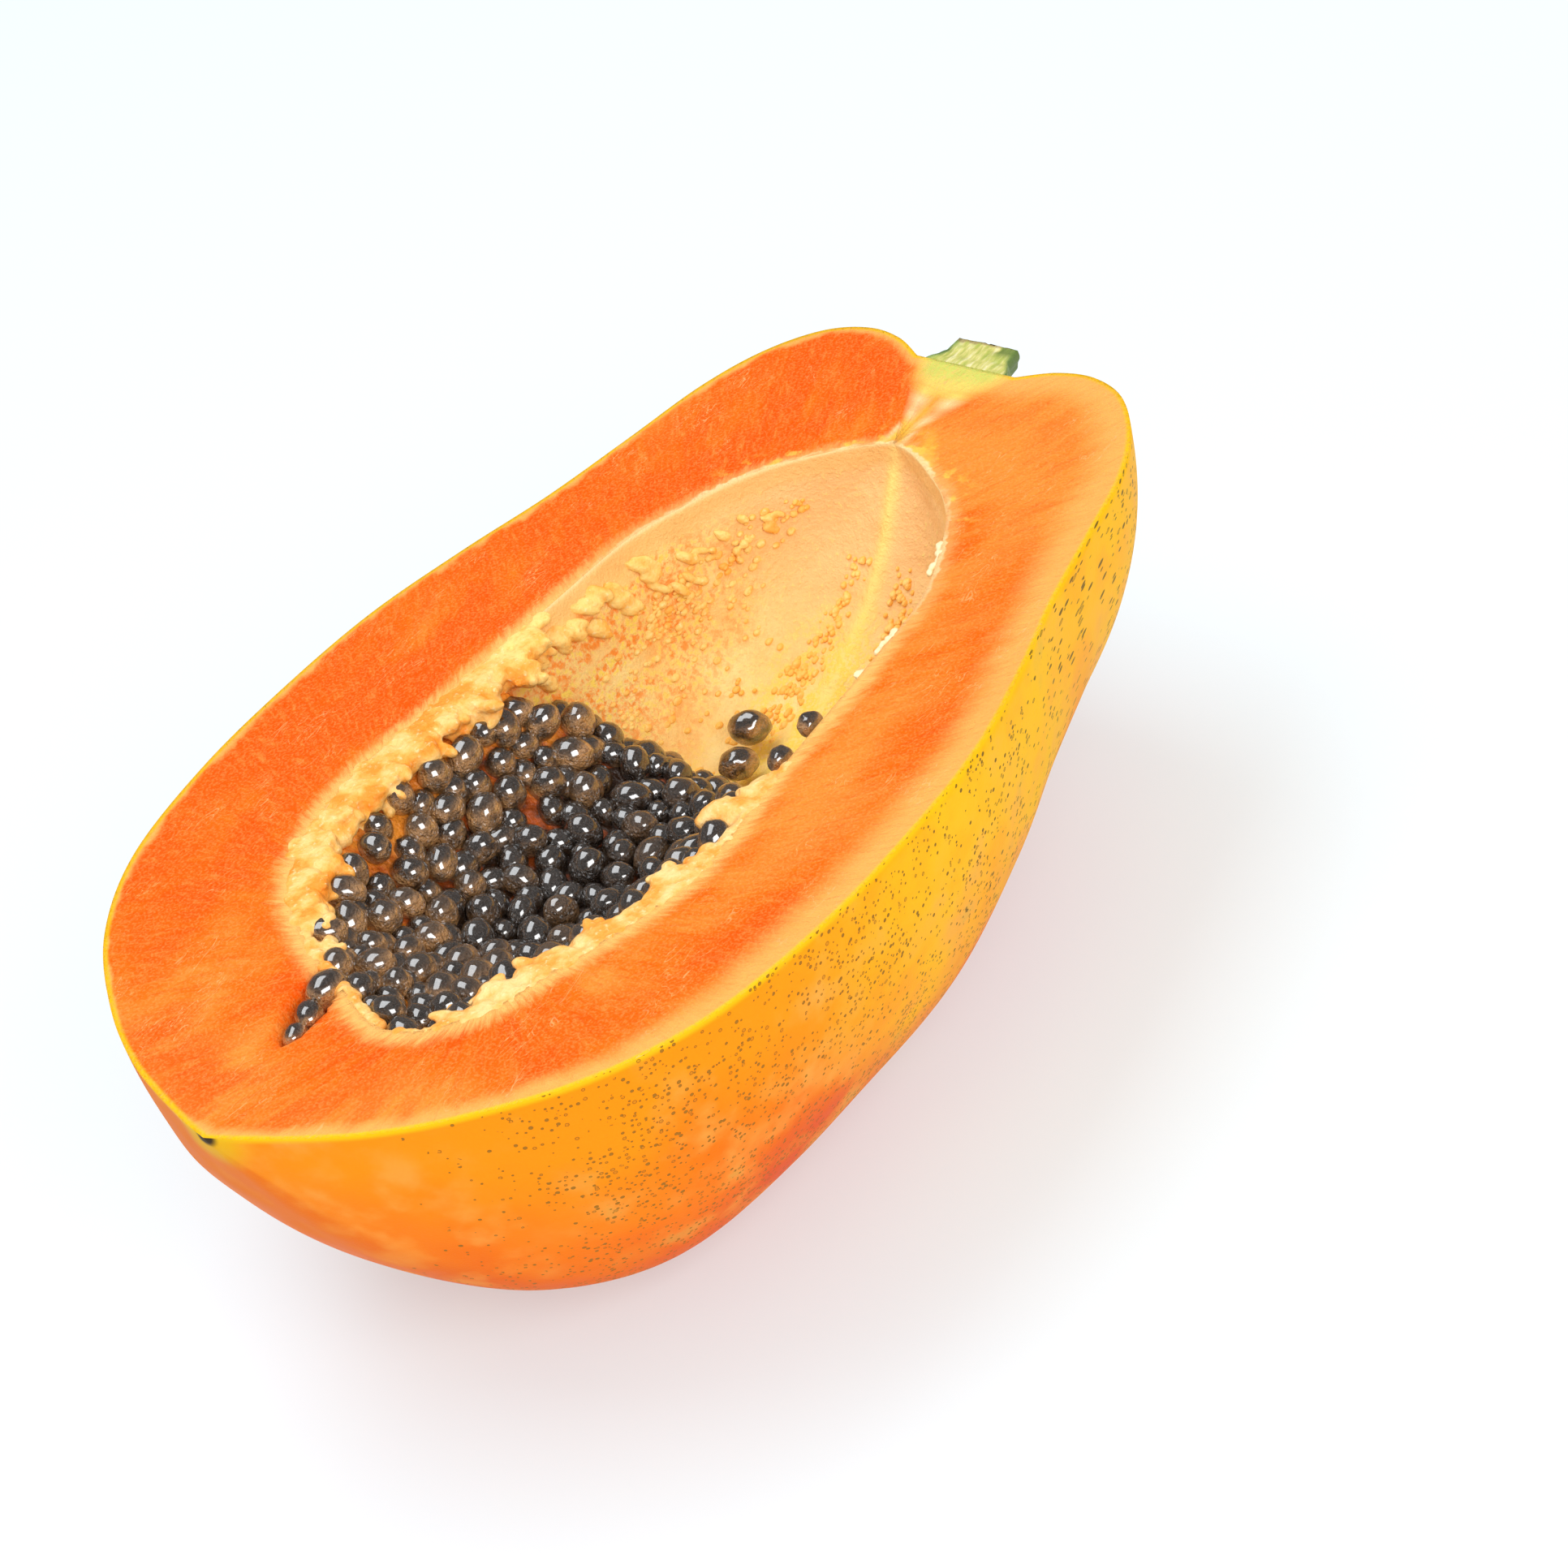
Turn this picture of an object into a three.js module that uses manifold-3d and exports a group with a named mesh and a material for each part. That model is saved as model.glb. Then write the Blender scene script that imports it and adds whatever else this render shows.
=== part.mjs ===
// Half of a ripe papaya, cut lengthwise and lying on its round back with the cut face up and level.
// Lengths are in millimetres. While it is shaped, X runs from the blossom tip to the stem, Y to the
// left and Z up out of the cut face, which is z = 0. The finished group stands on z = 0.
// An angle round the fruit is in degrees: 0 at the right rim, 90 at the bottom, 180 at the left rim.
import * as THREE from "three";
import { mergeVertices } from "three/addons/utils/BufferGeometryUtils.js";
import Module from "manifold-3d";

// Driving dimensions
const LENGTH = 210; // blossom tip to the shoulders round the stem
const HALF_WIDTH = 63.5; // half the width of the cut face
const DEPTH_RATIO = 1.147; // depth of the back over the half width
const BELLY_SHIFT = 0.045; // what is taken from it below the seeds and added to it past them
const SHALLOW_AT = 80;
const DEEP_AT = 145;
const BELLY_REACH = 25;
const STANDING_HEIGHT = 70; // of the cut face, with the resting spot pressed flat
const CAVITY_WIDTH = 35.6; // half the width of the seed cavity at the cut face
const SEED_SIZE = 3.2; // mean half length of a seed in its coat of pulp
const GAP = 0.4; // clearance between separate pieces

// Outline of the fruit from tip to stem, as shares of LENGTH and of HALF_WIDTH
const FRUIT_OUTLINE = [
  [0, 0],
  [0.012, 0.12],
  [0.043, 0.36],
  [0.086, 0.57],
  [0.148, 0.778],
  [0.229, 0.923],
  [0.333, 0.989],
  [0.436, 1],
  [0.538, 0.978],
  [0.633, 0.906],
  [0.714, 0.828],
  [0.8, 0.767],
  [0.876, 0.715],
  [0.933, 0.635],
  [0.974, 0.52],
  [0.99, 0.394],
  [0.986, 0.276],
  [0.969, 0.17],
];
const STEM_SEAT = 0.969; // where the dimple for the stem ends, as a share of LENGTH

// Outline of the cavity, as shares of LENGTH and of CAVITY_WIDTH
const CAVITY_OUTLINE = [
  [0.136, 0],
  [0.143, 0.155],
  [0.162, 0.323],
  [0.181, 0.49],
  [0.21, 0.652],
  [0.257, 0.837],
  [0.319, 0.966],
  [0.381, 1],
  [0.452, 0.949],
  [0.595, 0.896],
  [0.681, 0.851],
  [0.738, 0.73],
  [0.776, 0.618],
  [0.805, 0.483],
  [0.829, 0.309],
  [0.848, 0.14],
  [0.857, 0],
];
const CAVITY_LEAN = 10.5; // how far the cavity's blossom end bends to the right
const CAVITY_LEAN_REACH = 14; // length over which that bend fades
const CAVITY_OFFSET = -0.8; // the cavity's axis lies a little to the right

// Five ridges on the skin and five grooves in the cavity
const RIDGES = 5;
const SKIN_RIDGE_ANGLE = 54; // one skin ridge, and the others lie a fifth of a turn apart
const RIDGE_HALF_ANGLE = 13; // half width of a skin ridge, in degrees
const RIDGE_TWIST = 18; // how far the ridges wind round the tip, in degrees
const TWIST_REACH = 22; // length over which that winding fades
const BODY_RIDGE = 0.012; // height of the ridges over the radius, all along the fruit
const TIP_RIDGE = 0.05; // what is added to it at the tip
const TIP_RIDGE_REACH = 34;
const SHOULDER_RIDGE = 0.02; // what is added to it at the stem end
const SHOULDER_FROM = 150;
const SHOULDER_TO = 205;
const SHOULDER_LEAN = 0.085; // slope of the stem end, whose left shoulder is the higher
const PLACENTA_ANGLE = 90; // one ridge inside the cavity
const CAVITY_RIDGE = 0.055; // height of the placentas over the cavity's radius
const CAVITY_RIDGE_FROM = 60;
const CAVITY_RIDGE_TO = 150;

const SAME_RADIUS = 1e-6;
const FRUIT_STEPS = 40;
const FRUIT_SIDES = 40;
const CAVITY_STEPS = 26;
const CAVITY_SIDES = 32;
const DEGREE = Math.PI / 180;

const wasm = await Module();
wasm.setup();

// A repeatable source of numbers from 0 to 1
function drawer(seed) {
  const MODULUS = 2147483647;
  const MULTIPLIER = 16807;
  let state = seed;
  return () => {
    state = (state * MULTIPLIER) % MODULUS;
    return state / MODULUS;
  };
}

function smooth(from, to, value) {
  const t = Math.min(1, Math.max(0, (value - from) / (to - from)));
  return t * t * (3 - 2 * t);
}

function bell(middle, reach, value) {
  return Math.exp(-(((value - middle) / reach) ** 2));
}

// Solids

function solidOf(geometry) {
  const SAME_POINT = 1e-4;
  const bare = geometry.clone();
  bare.deleteAttribute("normal");
  bare.deleteAttribute("uv");
  const merged = mergeVertices(bare, SAME_POINT);
  const index = merged.index.array;
  const kept = [];
  for (let i = 0; i < index.length; i += 3) {
    const [a, b, c] = index.slice(i, i + 3);
    if (a !== b && b !== c && a !== c) kept.push(a, b, c);
  }
  return new wasm.Manifold(
    new wasm.Mesh({
      numProp: 3,
      vertProperties: merged.attributes.position.array,
      triVerts: new Uint32Array(kept),
    }),
  );
}

function largestBody(solid) {
  return solid.decompose().reduce((a, b) => (a.volume() > b.volume() ? a : b));
}

function joined(solids) {
  let level = solids;
  while (level.length > 1) {
    const next = [];
    for (let i = 0; i < level.length; i += 2) {
      next.push(i + 1 < level.length ? level[i].add(level[i + 1]) : level[i]);
    }
    level = next;
  }
  return level[0];
}

function meshOf(name, solid, material) {
  const { vertProperties, triVerts } = solid.getMesh();
  const geometry = new THREE.BufferGeometry();
  geometry.setAttribute("position", new THREE.BufferAttribute(vertProperties, 3));
  geometry.setIndex(new THREE.BufferAttribute(triVerts, 1));
  geometry.computeVertexNormals();
  const mesh = new THREE.Mesh(geometry, material);
  mesh.name = name;
  return mesh;
}

// Moves each vertex of a geometry by a formula
function reshaped(geometry, move) {
  const position = geometry.attributes.position;
  const point = new THREE.Vector3();
  for (let i = 0; i < position.count; i += 1) {
    point.fromBufferAttribute(position, i);
    move(point);
    position.setXYZ(i, point.x, point.y, point.z);
  }
  return geometry;
}

// Points along a smooth curve through an outline's points: x along the fruit, y its radius
function profile(outline, width, steps) {
  const points = outline.map(([along, out]) => new THREE.Vector2(along * LENGTH, out * width));
  return new THREE.SplineCurve(points).getPoints(steps);
}

function radiusAt(points, x) {
  const next = points.findIndex((p) => p.x > x);
  if (next <= 0) return 0;
  const [a, b] = [points[next - 1], points[next]];
  return a.y + ((b.y - a.y) * (x - a.x)) / (b.x - a.x);
}

// A body of revolution about X, closed on its axis
function revolved(points, sides) {
  const outline = points.map((p) => new THREE.Vector2(Math.max(0, p.y), p.x));
  return new THREE.LatheGeometry(outline, sides).rotateZ(-Math.PI / 2);
}

function angleRound(point) {
  return Math.atan2(-point.z, -point.y) / DEGREE;
}

// Distance in degrees from the nearest of the five ridges
function fromRidge(angle, first) {
  const step = 360 / RIDGES;
  const turn = (((angle - first) % step) + step) % step;
  return Math.min(turn, step - turn);
}

// The fruit

function depthRatio(x) {
  return DEPTH_RATIO + BELLY_SHIFT * (bell(DEEP_AT, BELLY_REACH, x) - bell(SHALLOW_AT, BELLY_REACH, x));
}

function skinRidge(x, angle) {
  const MEAN = 0.25;
  const atTip = TIP_RIDGE * Math.exp(-x / TIP_RIDGE_REACH);
  const atStem = SHOULDER_RIDGE * smooth(SHOULDER_FROM, SHOULDER_TO, x);
  const twisted = SKIN_RIDGE_ANGLE + RIDGE_TWIST * Math.exp(-x / TWIST_REACH);
  const shape = bell(0, RIDGE_HALF_ANGLE, fromRidge(angle, twisted)) - MEAN;
  return (BODY_RIDGE + atTip + atStem) * shape;
}

function leaned(point) {
  point.x += SHOULDER_LEAN * point.y * smooth(SHOULDER_FROM, SHOULDER_TO, point.x);
}

function fruitBody() {
  const points = profile(FRUIT_OUTLINE, HALF_WIDTH, FRUIT_STEPS);
  points.push(new THREE.Vector2(STEM_SEAT * LENGTH, 0));
  return reshaped(revolved(points, FRUIT_SIDES), (p) => {
    const factor = 1 + skinRidge(p.x, angleRound(p));
    p.y *= factor;
    p.z *= factor * depthRatio(p.x);
    leaned(p);
  });
}

// The cavity

const cavityPoints = profile(CAVITY_OUTLINE, CAVITY_WIDTH, CAVITY_STEPS);

function cavityCentre(x) {
  const tip = CAVITY_OUTLINE[0][0] * LENGTH;
  return CAVITY_OFFSET - CAVITY_LEAN * bell(tip, CAVITY_LEAN_REACH, x);
}

// Share of its plain radius that the cavity has at an angle
function placentas(x, angle) {
  const height = CAVITY_RIDGE * smooth(CAVITY_RIDGE_FROM, CAVITY_RIDGE_TO, x);
  return 1 - height * Math.cos(RIDGES * (angle - PLACENTA_ANGLE) * DEGREE);
}

// The point of the cavity wall at an angle, moved inwards by a distance
function wallPoint(x, angle, inwards) {
  const reach = radiusAt(cavityPoints, x) * placentas(x, angle) - inwards;
  return new THREE.Vector3(
    x,
    cavityCentre(x) - reach * Math.cos(angle * DEGREE),
    -reach * DEPTH_RATIO * Math.sin(angle * DEGREE),
  );
}

// The space inside the cavity, smaller all round by an inset
function cavityBody(inset) {
  return reshaped(revolved(cavityPoints, CAVITY_SIDES), (p) => {
    const radius = Math.max(Math.hypot(p.y, p.z), inset, SAME_RADIUS);
    const factor = Math.max(0, placentas(p.x, angleRound(p)) - inset / radius);
    p.y = p.y * factor + cavityCentre(p.x);
    p.z *= factor * DEPTH_RATIO;
  });
}

// The slit at the blossom end, where a row of small seeds lies
const SLIT = { x: 30.5, y: 4.7, turn: 13, length: 10.3, width: 3.6, depth: 8 };

function slitBody(inset) {
  return new THREE.IcosahedronGeometry(1, 2)
    .scale(SLIT.length - inset, SLIT.width - inset, SLIT.depth - inset)
    .rotateZ(SLIT.turn * DEGREE)
    .translate(SLIT.x, SLIT.y, 0);
}

// Lumps of pulp along the rim and finger-like stubs on the wall

function lump(middle, size, turn, grow) {
  return new THREE.SphereGeometry(1, 6, 4)
    .scale(size.x + grow, size.y + grow, size.z + grow)
    .rotateZ(turn)
    .translate(middle.x, middle.y, middle.z);
}

const FRINGES = [
  { side: 1, from: 40, to: 118, count: 19, width: 3.2 },
  { side: -1, from: 33, to: 97, count: 15, width: 3.6 },
];

// Middles and sizes of the lumps of pulp
function fringeLumps() {
  const draw = drawer(11);
  const lumps = [];
  for (const { side, from, to, count, width } of FRINGES) {
    for (let i = 0; i < count; i += 1) {
      const x = from + ((to - from) * (i + 0.5 * draw())) / count;
      const rim = radiusAt(cavityPoints, x);
      const size = new THREE.Vector3(2.6 + 1.4 * draw(), width + 1.9 * draw(), 2.2 + 1.6 * draw());
      const y = cavityCentre(x) + side * (rim - 0.55 * size.y);
      lumps.push({ middle: new THREE.Vector3(x, y, -1.2 - 1.6 * draw()), size, turn: draw() - 0.5 });
    }
  }
  return lumps;
}

const STUB_ROWS = [
  { angle: 164, spread: 5, from: 112, to: 148, count: 14, length: 2.7 },
  { angle: 160, spread: 9, from: 150, to: 167, count: 6, length: 2.1 },
  { angle: 104, spread: 9, from: 148, to: 168, count: 5, length: 1.9 },
  { angle: 76, spread: 8, from: 148, to: 168, count: 4, length: 1.9 },
  { angle: 20, spread: 6, from: 105, to: 150, count: 5, length: 2.1 },
];

// Short blunt stubs that stood under seeds, rooted in the wall and pointing into the cavity
function stubs(grow) {
  const draw = drawer(23);
  return STUB_ROWS.flatMap(({ angle, spread, from, to, count, length }) =>
    Array.from({ length: count }, () => {
      const x = from + (to - from) * draw();
      const middle = wallPoint(x, angle + spread * (2 * draw() - 1), 0.35 * length);
      const inwards = new THREE.Vector3(0, cavityCentre(x), 0).sub(middle).setX(length * (draw() - 0.5));
      const upright = new THREE.Vector3(0, 0, 1);
      const turn = new THREE.Quaternion().setFromUnitVectors(upright, inwards.normalize());
      const thick = 0.9 + 0.35 * draw() + grow;
      return new THREE.IcosahedronGeometry(1, 0)
        .scale(thick, thick, length + grow)
        .applyQuaternion(turn)
        .translate(middle.x, middle.y, middle.z);
    }),
  );
}

// All that stands on the cavity wall, larger all round by a clearance
function pulp(grow) {
  const lumps = fringeLumps().map(({ middle, size, turn }) => lump(middle, size, turn, grow));
  return joined([...lumps, ...stubs(grow)].map(solidOf));
}

// Everything above a level, or with -1 below it, to cut away
function beyond(level, direction) {
  const SIZE = 400;
  const block = new THREE.BoxGeometry(SIZE, SIZE, SIZE);
  return solidOf(block.translate(LENGTH / 2, 0, level + (direction * SIZE) / 2));
}

const CUT_LEVEL = 0;

function papayaHalf() {
  const hollow = solidOf(cavityBody(0)).add(solidOf(slitBody(0)));
  const grown = solidOf(fruitBody()).subtract(hollow).add(pulp(0));
  return largestBody(grown.subtract(beyond(CUT_LEVEL, 1)).subtract(beyond(-STANDING_HEIGHT, -1)));
}

// The seeds

const SEEDS_FROM = 30;
const SEEDS_TO = 122;
const SEED_TRIES = 5000;
const SEED_SPACING = 5.9; // least distance between two seeds' middles
const BED_EDGE = 2; // depth of the seeds' middles at the rim
const BED_HOLLOW = 19; // how much deeper they lie in the middle
const BED_SHARE = 0.86; // share of the cavity's width that the hollow takes
const BED_END_SLOPE = 1.4; // of the end of the layer, down to the wall
const BED_SINK = 1.9; // how far the bed lies under the seeds' middles

// Height of the layer of seeds: a bowl that runs out down the wall towards the stem
function seedLevel(x, y) {
  const side = (y - cavityCentre(x)) / Math.max(1, radiusAt(cavityPoints, x));
  const inner = Math.min(1, Math.abs(side) / BED_SHARE);
  const hollow = BED_HOLLOW * (1 - inner * inner) * smooth(26, 78, x);
  const past = Math.max(0, x - (99 + 8 * side));
  return -BED_EDGE - Math.max(hollow, BED_END_SLOPE * past);
}

function insideCavity(point, margin) {
  const radius = radiusAt(cavityPoints, point.x) - margin;
  if (radius <= 0) return false;
  const across = (point.y - cavityCentre(point.x)) / radius;
  const down = point.z / (radius * DEPTH_RATIO);
  return across * across + down * down < 1;
}

// Room that the pulp takes on each side of the seeds
function pulpWidth(x, side) {
  return side > 0 ? 3.2 * smooth(34, 60, x) : 2.4 * smooth(30, 40, x) * (1 - smooth(60, 80, x));
}

// Middles, sizes and turns of the seeds, thrown at random and kept where there is room
function seedSites() {
  const draw = drawer(5);
  const sites = [];
  for (let i = 0; i < SEED_TRIES; i += 1) {
    const x = SEEDS_FROM + (SEEDS_TO - SEEDS_FROM) * draw();
    const side = 2 * draw() - 1;
    const size = SEED_SIZE * (0.86 + 0.26 * draw());
    const turn = [Math.PI * draw(), Math.PI * draw()];
    const reach = radiusAt(cavityPoints, x) - size - pulpWidth(x, side);
    const y = cavityCentre(x) + side * reach;
    const middle = new THREE.Vector3(x, y, seedLevel(x, y));
    const free = sites.every((other) => other.middle.distanceTo(middle) > SEED_SPACING);
    if (reach > 0 && free && insideCavity(middle, size)) sites.push({ middle, size, turn });
  }
  return sites;
}

function seedBody({ middle, size, turn }) {
  return new THREE.SphereGeometry(1, 6, 4)
    .scale(size, 0.86 * size, 0.9 * size)
    .rotateY(turn[0])
    .rotateZ(turn[1])
    .translate(middle.x, middle.y, middle.z);
}

// Small seeds that lie in a row in the slit
function slitSeeds() {
  const COUNT = 4;
  return Array.from({ length: COUNT }, (_, i) => {
    const along = -0.7 + 0.44 * i;
    const turn = SLIT.turn * DEGREE;
    const middle = new THREE.Vector3(
      SLIT.x + along * SLIT.length * Math.cos(turn),
      SLIT.y + along * SLIT.length * Math.sin(turn),
      -1.2,
    );
    return { middle, size: 2.5 + 0.25 * i, turn: [0, turn] };
  });
}

// The dark bed under the seeds, up to a level below their middles
function seedBed() {
  const STEPS = 16;
  const ACROSS = 8;
  const DEEP = 60;
  const long = SEEDS_TO - SEEDS_FROM + 4;
  const bed = new THREE.BoxGeometry(long, 2, DEEP, STEPS, ACROSS, 1);
  bed.translate(SEEDS_FROM + long / 2 - 4, 0, -DEEP / 2);
  return reshaped(bed, (p) => {
    const side = p.y;
    p.y = cavityCentre(p.x) + side * (radiusAt(cavityPoints, p.x) + 0.5);
    if (p.z > -DEEP / 2) p.z = seedLevel(p.x, p.y) - BED_SINK;
  });
}

function slitBed() {
  return reshaped(slitBody(2 * GAP), (p) => {
    p.z = Math.min(p.z, -1.6);
  });
}

function seeds() {
  const room = solidOf(cavityBody(GAP)).add(solidOf(slitBody(GAP)));
  const mass = joined([
    solidOf(seedBed()),
    solidOf(slitBed()),
    ...[...seedSites(), ...slitSeeds()].map((site) => solidOf(seedBody(site))),
  ]);
  return largestBody(mass.intersect(room).subtract(pulp(GAP)));
}

// Seeds that lie apart from the mass: on the bottom of the cavity, and by the right rim
const STRAYS = [
  { x: 136, angle: 108, size: 3.3, turn: [0.3, 0.5] },
  { x: 128, angle: 101, size: 3.1, turn: [0.8, 1.9] },
  { x: 104, angle: 5, size: 2.5, turn: [0.2, 0.4] },
  { x: 113, angle: 5, size: 2.4, turn: [0.5, 0.2] },
];

function straySeed({ x, angle, size, turn }) {
  return solidOf(seedBody({ middle: wallPoint(x, angle, size + 1), size, turn }));
}

// The stem, cut through its middle with the fruit
const STEM_LENGTH = 7.2;
const STEM_BASE = 9.2;
const STEM_WAIST = 7;
const STEM_TOP = 6.7;

function stemStub() {
  const from = STEM_SEAT * LENGTH + GAP;
  const outline = [
    [from, 0],
    [from, STEM_BASE],
    [from + 0.22 * STEM_LENGTH, 0.9 * STEM_BASE],
    [from + 0.48 * STEM_LENGTH, STEM_WAIST],
    [from + STEM_LENGTH, STEM_TOP],
    [from + STEM_LENGTH, 0],
  ].map(([x, radius]) => new THREE.Vector2(x, radius));
  return solidOf(reshaped(revolved(outline, 20), leaned)).subtract(beyond(CUT_LEVEL, 1));
}

// Materials

function finish(color, roughness) {
  return new THREE.MeshStandardMaterial({ color, roughness, metalness: 0 });
}

const fleshFinish = finish(0xf9812a, 0.45);
const seedFinish = finish(0x2a1d10, 0.12);
const stemFinish = finish(0xb9c06a, 0.6);

// Assembly

const papaya = new THREE.Group();
papaya.add(meshOf("papaya_half", papayaHalf(), fleshFinish));
papaya.add(meshOf("stem_stub", stemStub(), stemFinish));
papaya.add(meshOf("seeds", seeds(), seedFinish));
STRAYS.forEach((stray, i) => {
  papaya.add(meshOf(`seed_stray_${i + 1}`, straySeed(stray), seedFinish));
});

// The origin is the middle of the base
const box = new THREE.Box3().setFromObject(papaya);
const middle = box.getCenter(new THREE.Vector3());
papaya.position.set(-middle.x, -middle.y, -box.min.z);

export default papaya;
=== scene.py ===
"""Half of a ripe papaya on a pale floor: the fine surfaces, finishes, light and camera.

Shapes are worked out in millimetres in the fruit's own frame: X from the blossom tip to the stem,
Y to the left, Z up out of the cut face, which is z = 0. An angle round the fruit is in degrees,
0 at the right rim, 90 at the bottom and 180 at the left rim.
"""
import math

import bmesh
import bpy
import numpy as np
from mathutils import Matrix, Vector, noise


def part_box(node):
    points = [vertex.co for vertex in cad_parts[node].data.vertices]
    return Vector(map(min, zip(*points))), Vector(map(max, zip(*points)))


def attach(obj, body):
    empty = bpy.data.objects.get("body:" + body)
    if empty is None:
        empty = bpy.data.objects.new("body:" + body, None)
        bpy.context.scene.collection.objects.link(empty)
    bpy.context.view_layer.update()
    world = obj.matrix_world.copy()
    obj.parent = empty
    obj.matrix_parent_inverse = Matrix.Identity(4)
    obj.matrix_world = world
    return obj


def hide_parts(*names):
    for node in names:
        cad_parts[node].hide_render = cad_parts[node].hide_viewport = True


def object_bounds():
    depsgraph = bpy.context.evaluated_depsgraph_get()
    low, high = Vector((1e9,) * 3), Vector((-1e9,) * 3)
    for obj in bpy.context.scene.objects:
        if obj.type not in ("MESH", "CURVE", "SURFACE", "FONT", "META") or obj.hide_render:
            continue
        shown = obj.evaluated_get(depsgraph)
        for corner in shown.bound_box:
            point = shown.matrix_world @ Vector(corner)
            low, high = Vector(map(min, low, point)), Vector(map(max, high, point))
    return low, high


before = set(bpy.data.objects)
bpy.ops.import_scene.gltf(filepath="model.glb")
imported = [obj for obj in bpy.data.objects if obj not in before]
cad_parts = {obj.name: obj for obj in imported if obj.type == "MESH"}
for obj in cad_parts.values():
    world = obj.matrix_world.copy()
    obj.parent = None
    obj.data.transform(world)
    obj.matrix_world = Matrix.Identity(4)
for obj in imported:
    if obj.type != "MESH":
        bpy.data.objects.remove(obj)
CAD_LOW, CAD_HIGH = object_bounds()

MM = 0.001
HALF_LOW, HALF_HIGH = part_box("papaya_half")
ORIGIN = np.array([HALF_LOW[0], 0.0, HALF_HIGH[2]]) / MM

# The same driving dimensions as the solids

LENGTH = 210
HALF_WIDTH = 63.5
DEPTH_RATIO = 1.147
BELLY_SHIFT = 0.045
SHALLOW_AT = 80
DEEP_AT = 145
BELLY_REACH = 25
STANDING_HEIGHT = 70
CAVITY_WIDTH = 35.6
SEED_SIZE = 3.2
FRUIT_OUTLINE = [
    (0, 0), (0.012, 0.12), (0.043, 0.36), (0.086, 0.57), (0.148, 0.778), (0.229, 0.923),
    (0.333, 0.989), (0.436, 1), (0.538, 0.978), (0.633, 0.906), (0.714, 0.828), (0.8, 0.767),
    (0.876, 0.715), (0.933, 0.635), (0.974, 0.52), (0.99, 0.394), (0.986, 0.276), (0.969, 0.17),
]
STEM_SEAT = 0.969
CAVITY_OUTLINE = [
    (0.136, 0), (0.143, 0.155), (0.162, 0.323), (0.181, 0.49), (0.21, 0.652), (0.257, 0.837),
    (0.319, 0.966), (0.381, 1), (0.452, 0.949), (0.595, 0.896), (0.681, 0.851), (0.738, 0.73),
    (0.776, 0.618), (0.805, 0.483), (0.829, 0.309), (0.848, 0.14), (0.857, 0),
]
CAVITY_LEAN = 10.5
CAVITY_LEAN_REACH = 14
CAVITY_OFFSET = -0.8
RIDGES = 5
SKIN_RIDGE_ANGLE = 54
RIDGE_HALF_ANGLE = 13
RIDGE_TWIST = 18
TWIST_REACH = 22
BODY_RIDGE = 0.012
TIP_RIDGE = 0.05
TIP_RIDGE_REACH = 34
SHOULDER_RIDGE = 0.02
SHOULDER_FROM = 150
SHOULDER_TO = 205
SHOULDER_LEAN = 0.085
PLACENTA_ANGLE = 90
CAVITY_RIDGE = 0.055
CAVITY_RIDGE_FROM = 60
CAVITY_RIDGE_TO = 150
CAVITY_STEPS = 26
SLIT_X = 30.5
SLIT_Y = 4.7
SLIT_TURN = math.radians(13)
SLIT_SIZE = (10.3, 3.6, 8)
SEEDS_FROM = 30
SEEDS_TO = 122
SEED_TRIES = 5000
SEED_SPACING = 5.9
BED_EDGE = 2
BED_HOLLOW = 19
HOLLOW_FROM = 26
HOLLOW_TO = 78
BED_SHARE = 0.86
BED_END = 99
BED_END_SKEW = 8
BED_END_SLOPE = 1.4
BED_SINK = 1.9

# Fineness of the surfaces

PROFILE_STEPS = 240
SKIN_ROUND = 104
WALL_ROUND = 80
FACE_ACROSS = 28
WELD = 0.01


def drawer(seed):
    """A repeatable source of numbers from 0 to 1, the same as the one that placed the solids."""
    state = seed
    while True:
        state = (state * 16807) % 2147483647
        yield state / 2147483647


def smooth(low, high, value):
    t = np.clip((value - low) / (high - low), 0, 1)
    return t * t * (3 - 2 * t)


def bell(middle, reach, value):
    return np.exp(-(((value - middle) / reach) ** 2))


def profile(outline, width, steps):
    """Points on a smooth curve through an outline, as rows of x along the fruit and radius."""
    points = np.array(outline, float) * [LENGTH, width]
    last = len(points) - 1
    at = np.linspace(0, last, steps + 1)
    i = np.minimum(at.astype(int), last - 1)
    t = (at - i)[:, None]
    before, here = points[np.maximum(i - 1, 0)], points[i]
    there, after = points[i + 1], points[np.minimum(i + 2, last)]
    v0, v1 = (there - before) / 2, (after - here) / 2
    cube = (2 * here - 2 * there + v0 + v1) * t**3
    square = (-3 * here + 3 * there - 2 * v0 - v1) * t**2
    return cube + square + v0 * t + here


CAVITY_PROFILE = profile(CAVITY_OUTLINE, CAVITY_WIDTH, CAVITY_STEPS)


def cavity_width_at(x):
    return np.interp(x, CAVITY_PROFILE[:, 0], CAVITY_PROFILE[:, 1], left=0, right=0)


def cavity_centre(x):
    return CAVITY_OFFSET - CAVITY_LEAN * bell(CAVITY_OUTLINE[0][0] * LENGTH, CAVITY_LEAN_REACH, x)


def placentas(x, angle):
    """Share of its plain radius that the cavity has at an angle."""
    height = CAVITY_RIDGE * smooth(CAVITY_RIDGE_FROM, CAVITY_RIDGE_TO, x)
    return 1 - height * np.cos(np.radians(RIDGES * (angle - PLACENTA_ANGLE)))


def wall_point(x, angle, inwards):
    reach = cavity_width_at(x) * placentas(x, angle) - inwards
    a = math.radians(angle)
    down = -reach * DEPTH_RATIO * math.sin(a)
    return np.array([x, cavity_centre(x) - reach * math.cos(a), down])


def depth_ratio(x):
    return DEPTH_RATIO + BELLY_SHIFT * (bell(DEEP_AT, BELLY_REACH, x) - bell(SHALLOW_AT, BELLY_REACH, x))


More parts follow.
